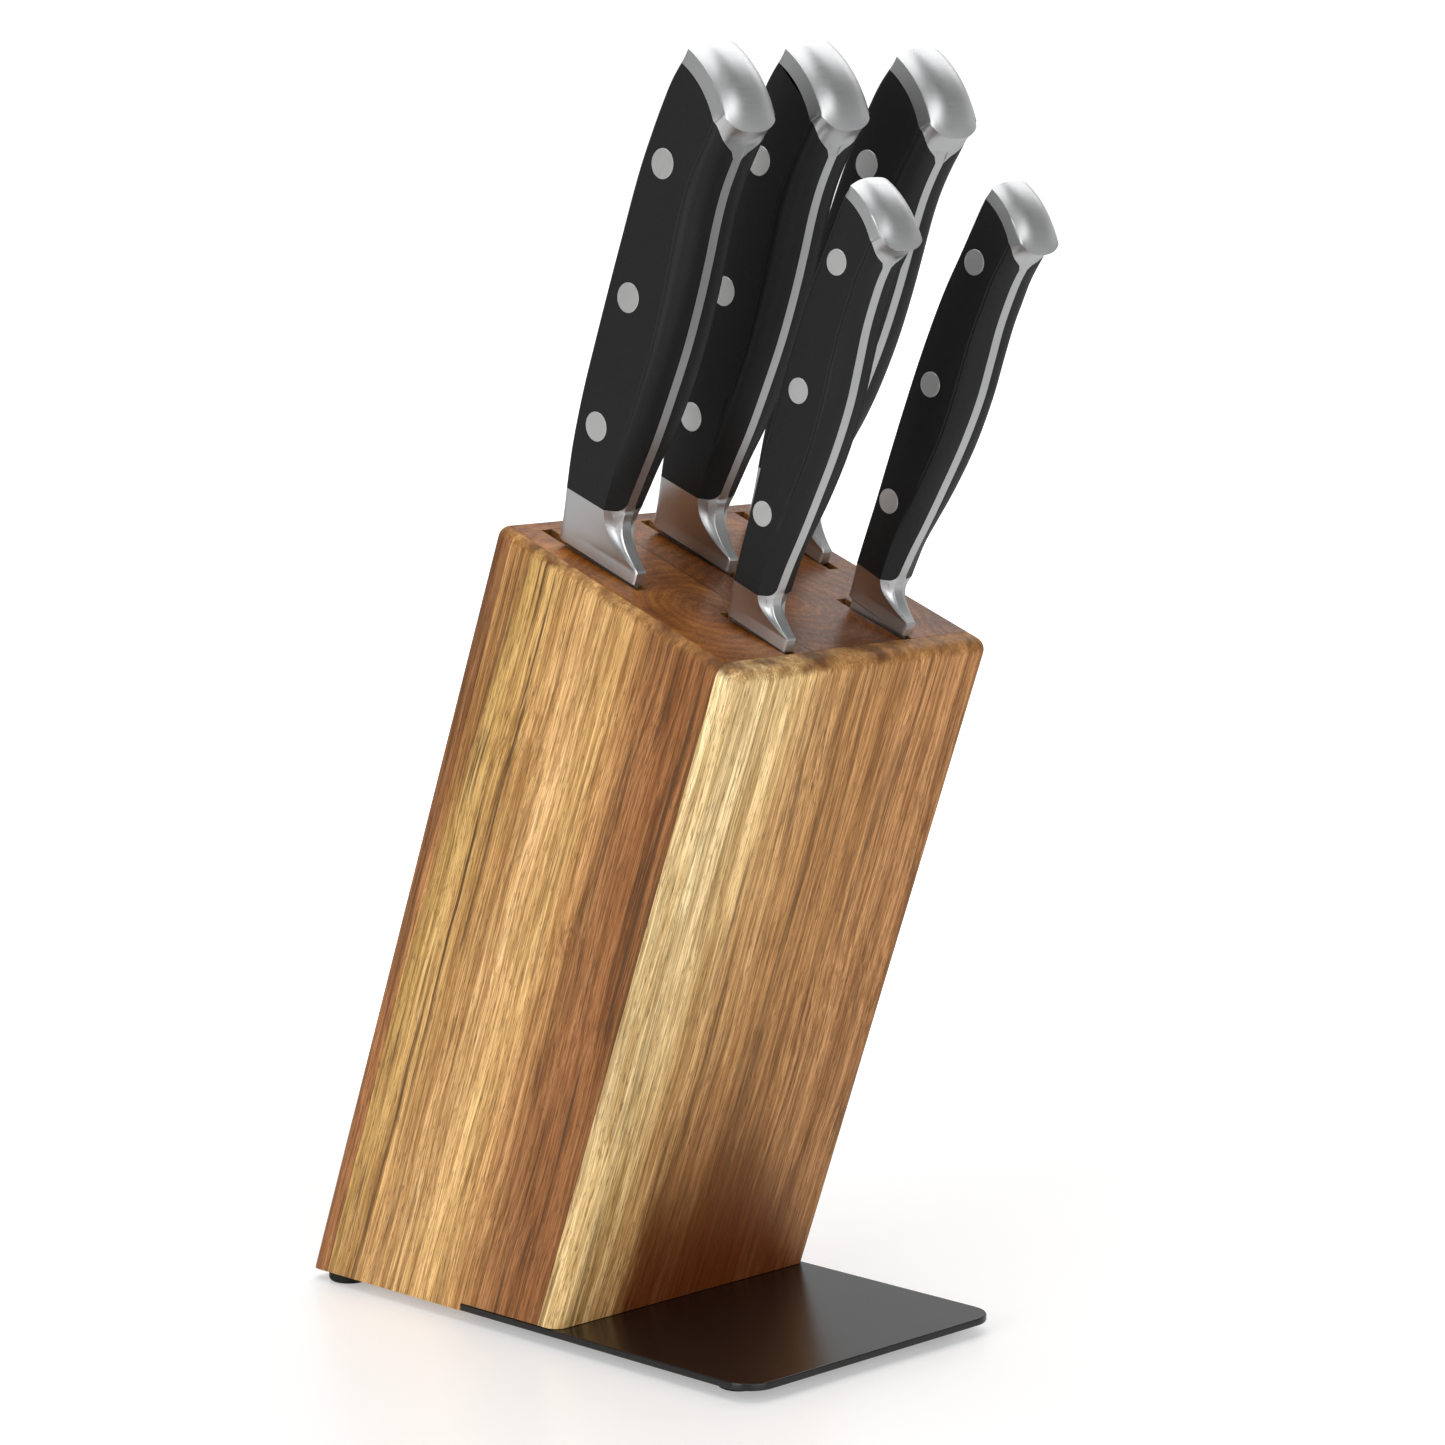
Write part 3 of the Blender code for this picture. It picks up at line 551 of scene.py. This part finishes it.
def build_boards(woods):
    """Front and back board, and the core between them with the knife slots cut through."""
    half, top = BLOCK_W / 2, BLOCK_L
    front_s, back_s = BLOCK_D - BOARD_T + SEAM, BOARD_T - SEAM
    rebate_s = PLATE_REAR * math.cos(LEAN)

    def corner(p, q):
        return abs(abs(p[0]) - half) < 0.01 and abs(p[0] - q[0]) < 0.01

    def high(p, q):
        return p[2] > top - 0.1 and q[2] > top - 0.1

    def outer(p, q, s):
        return abs(p[1] - s) < 0.01 and abs(q[1] - s) < 0.01

    def rounded(p, q, s):
        return (outer(p, q, s) and (corner(p, q) or high(p, q))) or (high(p, q) and corner(p, q))

    outline = ((front_s, under(front_s, REBATE)), (BLOCK_D, under(BLOCK_D, REBATE)),
               (BLOCK_D, top), (front_s, top))
    front = to_object("front_board_oiled", prism(outline, half), BLOCK, (woods["front"],))
    round_edges(front, lambda p, q: rounded(p, q, BLOCK_D))
    outline = ((0.0, 0.0), (back_s, under(back_s)), (back_s, top), (0.0, top))
    back = to_object("back_board_oiled", prism(outline, half), BLOCK, (woods["back"], woods["top"]))
    round_edges(back, lambda p, q: rounded(p, q, 0.0))
    outline = ((BOARD_T, under(BOARD_T)), (rebate_s, under(rebate_s)),
               (rebate_s - REBATE * math.sin(LEAN), under(rebate_s) + REBATE * math.cos(LEAN)),
               (BLOCK_D - BOARD_T, under(BLOCK_D - BOARD_T, REBATE)),
               (BLOCK_D - BOARD_T, top), (BOARD_T, top))
    core = to_object("slotted_core_oiled", prism(outline, half), BLOCK, (woods["core"], woods["top"]))
    round_edges(core, lambda p, q: high(p, q) and corner(p, q))
    boxes = []
    for name, knife in KNIVES.items():
        if name in FRONT_ROW:
            start, end = ROW_START_FRONT, BLOCK_D - BOARD_T + SLOT_OVERLAP
        else:
            start, end = BOARD_T - SLOT_OVERLAP, ROW_END_BACK
        boxes.append(((knife[1], (start + end) / 2, BLOCK_L / 2), (SLOT_W, end - start, BLOCK_L * 2)))
    cutter = box_cutter("slot_cutters", boxes, BLOCK)
    slots = core.modifiers.new("slots", "BOOLEAN")
    slots.object = cutter
    slots.solver = "EXACT"
    for obj in (front, back, core):
        bake_modifiers(obj)
        ease_edges(obj, 0.12 if obj is core else 0.10)
        if obj is not front:
            face_materials(obj)
    bpy.data.objects.remove(cutter, do_unlink=True)
    finish_piece(front, "block", ["front_board"])
    finish_piece(back, "block", ["back_board"])
    inner = ["plank_%d" % i for i in range(1, 7)] + ["spacer_" + name.split("_")[0] for name in KNIVES]
    finish_piece(core, "block", inner)


def build_plate(paint):
    """Flat foot plate with rounded front corners, softened edges and two countersunk holes."""
    half, r = BLOCK_W / 2, PLATE_CORNER_R
    outline = [(half, PLATE_REAR), (-half, PLATE_REAR)]
    for side, start in ((-1, math.pi), (1, math.pi / 2)):
        for step in range(13):
            angle = start - step * math.pi / 24
            outline.append((side * (half - r) + r * math.cos(angle),
                            PLATE_FRONT - r + r * math.sin(angle)))
    bm = bmesh.new()
    low, high = FOOT_H, FOOT_H + PLATE_T
    middle = (PLATE_REAR + PLATE_FRONT) / 2

    def ring(inset, h):
        scale_x = (half - inset) / half
        scale_s = 1.0 - inset / (PLATE_FRONT - middle)
        return [(x * scale_x, middle + (s - middle) * scale_s, h) for x, s in outline]

    full, part = PLATE_EDGE_R, PLATE_EDGE_R * 0.3
    skin(bm, [ring(full, low), ring(part, low + part), ring(0.0, low + full),
              ring(0.0, high - full), ring(part, high - part), ring(full, high)])
    plate = to_object("foot_plate_painted", bm, UPRIGHT, (paint,), 40.0)
    holes = bmesh.new()
    for side in (-1, 1):
        spun(holes, ((HEAD_HOLE_R, low - 1), (HEAD_HOLE_R, low + 0.2), (SHANK_HOLE_R, low + 2.3),
                     (SHANK_HOLE_R, high + 1)), 40, side * SCREW_AT[0], SCREW_AT[1])
    cutter = to_object("plate_holes", holes, UPRIGHT, ())
    cut = plate.modifiers.new("holes", "BOOLEAN")
    cut.object = cutter
    bake_modifiers(plate)
    bpy.data.objects.remove(cutter, do_unlink=True)
    flatten_shading(plate, 50)
    finish_piece(plate, "block", ["base_plate"])


def build_screws(steel):
    """Countersunk wood screws with a cross recess, head down."""
    low = FOOT_H
    for side, label in ((-1, "left"), (1, "right")):
        x, s = side * SCREW_AT[0], SCREW_AT[1]
        bm = bmesh.new()
        profile = [(SCREW_HEAD_R - 0.15, low + 0.02), (SCREW_HEAD_R, low + 0.15),
                   (SCREW_HEAD_R - 0.05, low + 0.3), (1.7, low + 2.1)]
        for turn in range(8):
            h = low + 3.0 + turn * SCREW_TURN
            profile += [(SCREW_CORE_R, h), (SCREW_THREAD_R, h + 0.35), (SCREW_CORE_R, h + 0.7)]
        profile += [(0.9, 15.0), (0.15, 15.9)]
        spun(bm, profile, 28, x, s)
        screw = to_object("plate_screw_%s_fine" % label, bm, UPRIGHT, (steel,))
        arms = ((RECESS_L, RECESS_W), (RECESS_W, RECESS_L))
        cutter = box_cutter("recess", [((x, s, low), (*arm, 2 * RECESS_DEPTH)) for arm in arms], UPRIGHT)
        cut = screw.modifiers.new("recess", "BOOLEAN")
        cut.object = cutter
        cut.use_self = True
        bake_modifiers(screw)
        bpy.data.objects.remove(cutter, do_unlink=True)
        finish_piece(screw, "block", ["plate_screw_" + label])


def build_feet(mat):
    """Round rubber feet with a soft lower edge."""
    top, flat_r = FOOT_H - 0.03, FOOT_R - FOOT_ROUND
    for label, at in FEET.items():
        bm = bmesh.new()
        profile = [(flat_r, 0.0)]
        for step in range(1, 7):
            angle = step * math.pi / 12
            profile.append((flat_r + FOOT_ROUND * math.sin(angle), FOOT_ROUND_H * (1 - math.cos(angle))))
        profile += [(FOOT_R, top - 0.15), (FOOT_R - 0.15, top)]
        spun(bm, profile, 48, *at)
        foot = to_object("foot_%s_moulded" % label, bm, UPRIGHT, (mat,))
        finish_piece(foot, "block", ["foot_" + label])


# ---------------------------------------------------------------- knives

FACET, SIDE = 12, 22         # segments across a facet and along a side of a handle's section
HALF_COUNT = 2 * FACET + SIDE + 1


def along(rows, h, column):
    """Smooth curve through one column of a handle's stations, at height h."""
    last = len(rows) - 1
    i = max([k for k in range(last) if h >= rows[k][0]], default=0)
    (h0, v0), (h1, v1) = ((rows[k][0], rows[k][column]) for k in (i, i + 1))

    def slope(k):
        a, b = rows[max(k - 1, 0)], rows[min(k + 1, last)]
        return (b[column] - a[column]) / (b[0] - a[0])

    t = (h - h0) / (h1 - h0)
    if t <= 0.0 or t >= 1.0:
        end = 0 if t <= 0.0 else 1
        return (v0, v1)[end] + slope(i + end) * (h - (h0, h1)[end])
    m0, m1 = slope(i) * (h1 - h0), slope(i + 1) * (h1 - h0)
    return ((2 * t ** 3 - 3 * t ** 2 + 1) * v0 + (t ** 3 - 2 * t ** 2 + t) * m0
            + (3 * t ** 2 - 2 * t ** 3) * v1 + (t ** 3 - t ** 2) * m1)


def clamp(value, low=0.0, high=1.0):
    return min(max(value, low), high)


def ease(t):
    """Smooth step from 0 to 1."""
    t = clamp(t)
    return t * t * (3 - 2 * t)


def grip_half(handle, h):
    """Half thickness of the grip, thinner towards the bolster."""
    low, high = handle["bolster"]["top"], handle["rivets"][1] * 0.7
    t = clamp((h - low) / (high - low))
    return handle["neck_half"] + (handle["half"] - handle["neck_half"]) * math.sin(t * math.pi / 2)


def grip_section(handle, h):
    """Numbers of the handle's section at h: spine, belly, crease, halves, belly curve, crease groove."""
    rows = handle["stations"]
    start = handle["bolster"]["top"]
    rise = ease((h - start - 2.0) / (handle["rivets"][1] * 0.75 - start))
    groove = 0.20 * ease((h - handle["rivets"][0] + 2.0) / 12.0)
    half = grip_half(handle, h)
    return {"spine": along(rows, h, 1), "belly": along(rows, h, 2), "crease": along(rows, h, 3),
            "spine_half": half, "crease_half": half, "groove": groove,
            "power": 1.0 + (handle["belly_power"] - 1.0) * rise}


def bolster_section(handle, h):
    """The same numbers in the bolster, which sweeps forward and narrows down to the heel."""
    b = handle["bolster"]
    top, heel = b["top"], b["heel"]
    start = handle["stations"][0]
    t = clamp((h - HEEL_H) / (top - HEEL_H))
    rise = clamp(h / top)
    neck = grip_half(handle, top)
    spine_half = b["toe_half"] + (neck - b["toe_half"]) * rise ** SPINE_SWELL
    ridge_half = HEEL_HALF + (neck - HEEL_HALF) * t ** RIDGE_SWELL
    ridge = start[3] + (heel - 0.5 - start[3]) * (1.0 - t) ** RIDGE_SWEEP
    front = start[2] + (heel - start[2]) * (1.0 - t) ** FRONT_SWEEP
    flute = ease((top - h) / (0.35 * top)) * ease((h - HEEL_H) / 3.0)
    return {"spine": b["toe"] + (start[1] - b["toe"]) * rise, "belly": front, "crease": ridge,
            "spine_half": spine_half, "crease_half": ridge_half, "groove": 0.0,
            "power": 1.0 - 0.34 * flute}


def half_section(q, j):
    """Point j of the right half of a section, from the strip at the spine round to the one at the
    belly."""
    if j <= FACET:                                   # spine face, with a rounded edge
        turn = math.sin(j / FACET * math.pi / 2)
        half, r = q["spine_half"], SPINE_EDGE_R
        x = TANG_HALF + (half - TANG_HALF) * turn
        inside = max(r - (half - x), 0.0)
        return x, q["spine"] + r - math.sqrt(max(r * r - inside * inside, 0.0))
    near = 0.4                                       # closest points on both sides of the crease
    if j <= FACET + SIDE:                            # flat side
        low, high = q["spine"] + SPINE_EDGE_R, q["crease"]
        k = j - FACET
        s = high if k == SIDE else low + (high - near - low) * k / (SIDE - 1)
        t = (s - low) / (high - low)
        x = q["spine_half"] + (q["crease_half"] - q["spine_half"]) * t
        return x - (q["groove"] if k == SIDE else 0.0), s
    rise = q["belly"] - q["crease"]
    n = q["power"]
    first = math.asin(clamp((near / max(rise, near * 1.05)) ** (n / 2), 0.0, 0.5))
    k = j - FACET - SIDE
    angle = first + (math.pi / 2 - first) * (k - 1) / (FACET - 1)
    x = TANG_HALF + (q["crease_half"] - TANG_HALF) * max(math.cos(angle), 0.0) ** (2 / n)
    return x, q["crease"] + rise * math.sin(angle) ** (2 / n)


def scale_foot(handle, j):
    """h of the scale's lower edge at point j: level, with a fillet beside the strip at the front."""
    top = handle["bolster"]["top"]
    if j <= FACET + SIDE:
        return top
    q = grip_section(handle, top)
    gap = half_section(q, j)[0] - TANG_HALF
    r = handle["fillet"]
    if gap >= r:
        return top
    return top + r - math.sqrt(r * r - (r - gap) ** 2)


def scale_top(handle, j):
    """h of the scale's upper edge at point j: an arc under the cap, then a V down to the strip."""
    cap = handle["cap"]
    cs, ch = cap["centre"]

    def arc(s):
        return ch + math.sqrt(max(cap["inner_r"] ** 2 - (s - cs) ** 2, 1.0))

    h = ch + cap["inner_r"] * 0.8
    if j <= FACET + SIDE:
        for _ in range(14):
            h = arc(half_section(grip_section(handle, h), j)[1])
        return h
    edge = scale_top(handle, FACET + SIDE)
    q = grip_section(handle, cap["root_h"] + 3.0)
    w = (half_section(q, j)[0] - TANG_HALF) / (q["crease_half"] - TANG_HALF)
    span = edge - cap["root_h"]
    return cap["root_h"] + span * (0.136 * (1 - math.exp(-w / 0.06)) + 0.523 * w + 0.341 * w ** 5)


def scale_edges(handle):
    """Lower and upper edge of a scale at every point of the half section."""
    points = range(HALF_COUNT)
    return [scale_foot(handle, j) for j in points], [scale_top(handle, j) for j in points]


def strip_ring(points):
    """Full ring from the right half's points, with the middle of the strip at spine and belly."""
    first, last = points[0], points[-1]
    left = [(-x, s, h) for x, s, h in reversed(points)]
    return [(0.0, first[1], first[2])] + points + [(0.0, last[1], last[2])] + left


def blade_ring(spine, edge, depth, tip):
    """Section of the blade at a depth below the bolster, ground to an edge."""
    half = BLADE_HALF * (1.0 - 0.6 * depth / tip)
    points = []
    for j in range(HALF_COUNT):
        if j <= FACET:
            points.append((half * (0.3 + 0.7 * j / FACET), spine, -depth))
        elif j <= FACET + SIDE:
            t = (j - FACET) / SIDE
            thick = half * (1.0 - 0.82 * t ** 1.6)
            points.append((thick, spine + (edge - GROUND_W - spine) * t, -depth))
        else:
            t = (j - FACET - SIDE) / FACET
            points.append((half * 0.18 * (1 - t) + 0.03, edge - GROUND_W * (1 - t), -depth))
    return strip_ring(points)


def blade_rings(stations, scallops):
    """Sections of the blade from the tip up, with the edge scalloped if it is a bread knife's."""
    tip = stations[-1][0]
    count = 200 if scallops else 60
    rings = []
    for i in range(count, -1, -1):
        depth = tip * i / count
        spine = along(stations, depth, 1)
        edge = max(along(stations, depth, 2), spine + TIP_W)
        if scallops and depth < tip - PLAIN_TIP:
            edge -= SCALLOP_DEPTH * math.sin(math.pi * depth / (tip / scallops)) ** 2
        rings.append(blade_ring(spine, edge, depth, tip))
    return rings


def bolster_rings(handle):
    """Sections of the bolster, from the slot up to the lower edge of the scales."""
    b = handle["bolster"]
    feet = scale_edges(handle)[0]
    rings = []
    steps = 30
    for i in range(steps + 1):
        part = i / steps
        points = []
        for j in range(HALF_COUNT):
            h = feet[j] * part
            section = bolster_section if h < b["top"] else grip_section
            x, s = half_section(section(handle, h), j)
            if h < b["top"] and feet[j] > b["top"] + 0.01:
                blend = ease((part - 0.55) / 0.45)
                gx, gs = half_section(grip_section(handle, feet[j]), j)
                x, s = x + (gx - x) * blend, s + (gs - s) * blend
            lift = b["toe_lift"] * (1 - part) * clamp((b["heel"] - s) / (b["heel"] - b["toe"]))
            points.append((x, s, BOLSTER_LIFT * (1 - part) + h + lift))
        rings.append(strip_ring(points))
    return rings


def inset_ring(ring, half):
    """The same ring drawn in to the tang's thickness."""
    return [(clamp(x, -half, half), s, h) for x, s, h in ring]


def cap_rings(handle):
    """Band of the end cap, from the scale's upper edge out to the edge of the crown."""
    cap = handle["cap"]
    cs, ch = cap["centre"]
    end_s, end_h = cap["end"]
    back, end = math.radians(cap["back"]), math.atan2(end_h - ch, end_s - cs)
    half, outer = handle["half"], cap["outer_r"]
    foot, edge = [], []
    for j, top in enumerate(scale_edges(handle)[1]):
        x, s = half_section(grip_section(handle, top), j)
        foot.append((x, s, top))
        if FACET < j <= FACET + SIDE:
            angle = back + (end - back) * (j - FACET) / SIDE
            edge.append((half, cs + outer * math.cos(angle), ch + outer * math.sin(angle)))
        else:
            edge.append((x, *crown_point(handle, clamp(x / half), 0.0 if j <= FACET else 1.0)))
    rings = []
    steps = 6
    for i in range(steps + 1):
        t = i / steps
        points = []
        for j, (a, b) in enumerate(zip(foot, edge)):
            x, s, h = (low + (high - low) * t for low, high in zip(a, b))
            sag = 0.0 if j <= FACET + SIDE else 0.9 * math.sin(math.pi * t) * (1 - (a[0] / half) ** 2)
            points.append((x, s - sag, h))
        rings.append(strip_ring(points))
    return rings


def crown_point(handle, f, t):
    """Point (s, h) of the crown at share f of the half width and share t from back to nose."""
    cap = handle["cap"]
    cs, ch = cap["centre"]
    swell = 1.0 - f ** 3
    end_s, end_h = cap["end"]
    nose_s = end_s + cap["nose"] * (1.0 - f ** 2.5) ** 0.4
    nose_h = end_h - cap["nose_drop"] * (1.0 - f ** 3)
    back, nose = math.radians(cap["back"]), math.atan2(nose_h - ch, nose_s - cs)
    nose_r = math.hypot(nose_s - cs, nose_h - ch)
    angle = back + (nose - back) * t
    blend = t ** 4
    radius = (cap["outer_r"] + cap["crown"] * swell) * (1 - blend) + nose_r * blend
    return cs + radius * math.cos(angle), ch + radius * math.sin(angle)


def close_crown(bm, handle, ring):
    """Fill the last ring with the crown, a grid from the back edge to the nose."""
    right, left = ring[1:1 + HALF_COUNT], ring[:1 + HALF_COUNT:-1]
    half = handle["half"]

    def row_of(first, second, middle):
        return second[::-1] + [middle] + first

    back = row_of(right[:FACET + 1], left[:FACET + 1], ring[0])
    nose = row_of(right[FACET + SIDE:][::-1], left[FACET + SIDE:][::-1], ring[1 + HALF_COUNT])
    previous = back
    for i in range(1, SIDE + 1):
        t = i / SIDE
        if i == SIDE:
            row = nose
        else:
            inner = []
            for a, b in list(zip(back, nose))[1:-1]:
                x = a.co.x + (b.co.x - a.co.x) * t
                inner.append(bm.verts.new((x, *crown_point(handle, clamp(abs(x) / half), t))))
            row = [left[FACET + i]] + inner + [right[FACET + i]]
        for k in range(len(row) - 1):
            bm.faces.new((previous[k], previous[k + 1], row[k + 1], row[k]))
        previous = row


def build_forging(name, handle, place, stations, scallops, mat):
    """Blade, bolster, tang and end cap in one closed skin."""
    bolster = bolster_rings(handle)
    rings = blade_rings(stations, scallops) + bolster
    rings.append(inset_ring(bolster[-1], TANG_HALF))
    feet, tops = scale_edges(handle)
    steps = 48
    for i in range(1, steps):
        points = []
        for j in range(HALF_COUNT):
            h = feet[j] + (tops[j] - feet[j]) * i / steps
            points.append((*half_section(grip_section(handle, h), j), h))
        rings.append(inset_ring(strip_ring(points), TANG_HALF))
    cap = cap_rings(handle)
    rings += [inset_ring(cap[0], TANG_HALF)] + cap
    bm = bmesh.new()
    rows = skin(bm, rings, (True, False))
    close_crown(bm, handle, rows[-1])
    obj = to_object(name + "_forging", bm, place, (mat,), 26.0)
    finish_piece(obj, name, [name + "_forged_blade"])


def build_scales(name, handle, place, mat):
    """The two handle scales, each lying against the tang."""
    feet, tops = scale_edges(handle)
    steps = 70
    for side, label in ((-1, "left"), (1, "right")):
        rings = []
        for i in range(steps + 1):
            ring = []
            for j in range(HALF_COUNT):
                h = feet[j] + HAIR + (tops[j] - feet[j] - 2 * HAIR) * i / steps
                x, s = half_section(grip_section(handle, h), j)
                ring.append((side * max(x, TANG_HALF + HAIR), s, h))
            rings.append(ring)
        bm = bmesh.new()
        skin(bm, rings)
        obj = to_object("%s_scale_%s_moulded" % (name, label), bm, place, (mat,), 26.0)
        finish_piece(obj, name, ["%s_scale_%s" % (name, label)])


def build_rivets(name, handle, place, mat):
    """Three rivets through the handle, ground to the shape of its sides."""
    radius, sides = handle["rivet_r"], 48
    rim = ((radius - 0.9, RIVET_PROUD), (radius - 0.12, RIVET_PROUD), (radius, RIVET_PROUD - 0.1))
    profile = [(-1, r, out) for r, out in rim] + [(1, r, out) for r, out in reversed(rim)]
    for label, middle in zip(("lower", "middle", "upper"), handle["rivets"]):
        rings = []
        for side, r, out in profile:
            ring = []
            for i in range(sides):
                angle = 2 * math.pi * i / sides
                h = middle + r * math.sin(angle)
                ring.append((side * (grip_half(handle, h) + out), r * math.cos(angle), h))
            rings.append(ring)
        bm = bmesh.new()
        skin(bm, rings)
        obj = to_object("%s_rivet_%s_ground" % (name, label), bm, place, (mat,), 35.0)
        finish_piece(obj, name, ["%s_rivet_%s" % (name, label)])


def build_knives(steel, handle_mat, rivet_mat):
    for name, (handle, x, s, lean, lift, stations, scallops) in KNIVES.items():
        slot_mouth = Matrix.Translation(Vector((x, -s, BLOCK_L + lift)) * MM)
        place = BLOCK @ slot_mouth @ Matrix.Rotation(math.radians(lean), 4, "X")
        build_forging(name, handle, place, stations, scallops, steel)
        build_scales(name, handle, place, handle_mat)
        build_rivets(name, handle, place, rivet_mat)


# ---------------------------------------------------------------- studio

# Brightness of the surroundings by height, and by direction from the camera's side to the far side
WORLD_BY_HEIGHT = ((0.0, 0.90), (0.30, 0.55), (0.60, 0.45), (1.0, 0.80))
WORLD_BY_SIDE = ((0.05, 0.30), (0.50, 0.36), (0.80, 1.0))
FAR_SIDE = (0.375, 0.33, 0.0)
BACKDROP = 1.1
FLOOR_GREY, FLOOR_GLOW = 0.66, 0.12
FLOOR_FADE = (0.20, 0.42, 0.36, 1.0)     # from radius, to radius, brightness at each, seen directly
CAMERA_AT = (-0.77099, BACK_EDGE_Y * MM - 0.86236, FOOT_H * MM + 0.31105)
CAMERA_AZIMUTH, CAMERA_ELEVATION, CAMERA_ROLL = -45.738, 8.145, 0.185
CAMERA_LENS, CAMERA_SENSOR = 105.06, 36.0
# name, place, size, power in watts; all aim at the object, at the height that comes last
LIGHTS = (("overhead", (-0.10, 0.15, 1.30), (1.3, 1.0), 8.0, 0.15),
          ("right_top", (1.10, 0.30, 1.35), (1.1, 1.1), 6.0, 0.20),
          ("left_fill", (-1.50, 0.00, 0.55), (0.9, 1.3), 12.5, 0.15),
          ("front_fill", (-0.30, -1.50, 0.60), (1.5, 1.3), 14.0, 0.15))


def build_floor():
    """Pale floor that fades to the white of the backdrop away from the object."""
    bm = bmesh.new()
    bmesh.ops.create_grid(bm, x_segments=1, y_segments=1, size=8.0)
    mesh = bpy.data.meshes.new("floor")
    bm.to_mesh(mesh)
    bm.free()
    n = Nodes("floor_white")
    length = n.new("ShaderNodeVectorMath", operation="LENGTH")
    n.put(n.new("ShaderNodeTexCoord").outputs["Object"], length.inputs[0])
    n.set(Base_Color=(FLOOR_GREY, FLOOR_GREY, FLOOR_GREY, 1.0), Specular_IOR_Level=0.35,
          Roughness=0.30, Emission_Color=(1.0, 1.0, 1.0, 1.0))
    seen = n.new("ShaderNodeLightPath").outputs["Is Camera Ray"]
    white = n.step(length.outputs["Value"], *FLOOR_FADE)
    glow = n.line(seen, n.math("SUBTRACT", white, FLOOR_GLOW), FLOOR_GLOW)
    n.put(glow, n.shader.inputs["Emission Strength"])
    mesh.materials.append(n.mat)
    floor = bpy.data.objects.new("floor", mesh)
    bpy.context.scene.collection.objects.link(floor)


def area_light(name, at, size, power, aim_height):
    data = bpy.data.lights.new(name, "AREA")
    data.shape = "RECTANGLE"
    data.size, data.size_y = size
    data.energy = power
    light = bpy.data.objects.new(name, data)
    light.location = at
    light.rotation_mode = "QUATERNION"
    aim = Vector((0.0, 0.0, aim_height)) - Vector(at)
    light.rotation_quaternion = aim.to_track_quat("-Z", "Y")
    bpy.context.scene.collection.objects.link(light)


def build_world():
    """White studio: pure white behind the object; what the object reflects is bright at the horizon
    away from the camera, and dimmer overhead and on the camera's side."""
    world = bpy.data.worlds.new("studio")
    world.use_nodes = True
    bpy.context.scene.world = world
    nodes, links = world.node_tree.nodes, world.node_tree.links
    nodes.clear()

    def grey_ramp(source, stops):
        ramp = nodes.new("ShaderNodeValToRGB")
        links.new(source, ramp.inputs[0])
        fill_ramp(ramp, [(position, (value,) * 3) for position, value in stops])
        return ramp.outputs[0]

    seen, lit = nodes.new("ShaderNodeBackground"), nodes.new("ShaderNodeBackground")
    seen.inputs[0].default_value, seen.inputs[1].default_value = (1.0, 1.0, 1.0, 1.0), BACKDROP
    direction = nodes.new("ShaderNodeTexCoord").outputs["Generated"]
    split = nodes.new("ShaderNodeSeparateXYZ")
    links.new(direction, split.inputs[0])
    links.new(grey_ramp(split.outputs[2], WORLD_BY_HEIGHT), lit.inputs[0])
    facing = nodes.new("ShaderNodeVectorMath")
    facing.operation = "DOT_PRODUCT"
    links.new(direction, facing.inputs[0])
    facing.inputs[1].default_value = FAR_SIDE
    shifted = nodes.new("ShaderNodeMath")
    links.new(facing.outputs["Value"], shifted.inputs[0])
    shifted.inputs[1].default_value = 0.5
    links.new(grey_ramp(shifted.outputs[0], WORLD_BY_SIDE), lit.inputs[1])
    mixer, out = nodes.new("ShaderNodeMixShader"), nodes.new("ShaderNodeOutputWorld")
    path = nodes.new("ShaderNodeLightPath")
    links.new(path.outputs["Is Camera Ray"], mixer.inputs[0])
    links.new(lit.outputs[0], mixer.inputs[1])
    links.new(seen.outputs[0], mixer.inputs[2])
    links.new(mixer.outputs[0], out.inputs[0])


def build_camera():
    """Camera at the picture's viewing angle, tilted by a hair."""
    azimuth, elevation = math.radians(CAMERA_AZIMUTH), math.radians(CAMERA_ELEVATION)
    back = Vector((math.sin(azimuth) * math.cos(elevation), -math.cos(azimuth) * math.cos(elevation),
                   math.sin(elevation)))
    data = bpy.data.cameras.new("camera")
    data.lens, data.sensor_width = CAMERA_LENS, CAMERA_SENSOR
    data.clip_start, data.clip_end = 0.05, 50.0
    camera = bpy.data.objects.new("camera", data)
    camera.location = CAMERA_AT
    camera.rotation_mode = "QUATERNION"
    tilt = Matrix.Rotation(math.radians(CAMERA_ROLL), 4, "Z").to_quaternion()
    camera.rotation_quaternion = (-back).to_track_quat("-Z", "Y") @ tilt
    bpy.context.scene.collection.objects.link(camera)
    bpy.context.scene.camera = camera


def main():
    bpy.context.scene.view_settings.view_transform = "Standard"
    woods = {
        # the front board has a dark patch of figure low down, partly a painted reflection of the foot
        # plate
        "front": acacia("acacia_front", "x", FRONT_TONES, -0.11, dark_figure_and_reflection=True),
        "back": acacia("acacia_back", "x", BACK_TONES),
        "core": acacia("acacia_core", "s", CORE_TONES, -0.07, knot=(60.5, 133.5)),
        "top": end_grain("acacia_end_grain", -14.2, (-27.0, 58.0)),
    }
    build_boards(woods)
    build_plate(painted_steel("plate_paint"))
    satin = brushed_steel("rivet_satin", (2600.0, 2600.0, 300.0), (0.70, 0.70, 0.69), (0.34, 0.42))
    build_screws(satin)
    build_feet(rubber("foot_rubber"))
    build_knives(brushed_steel("satin_steel"), black_handle("handle_black"), satin)
    build_floor()
    build_world()
    for light in LIGHTS:
        area_light(*light)
    build_camera()


main()
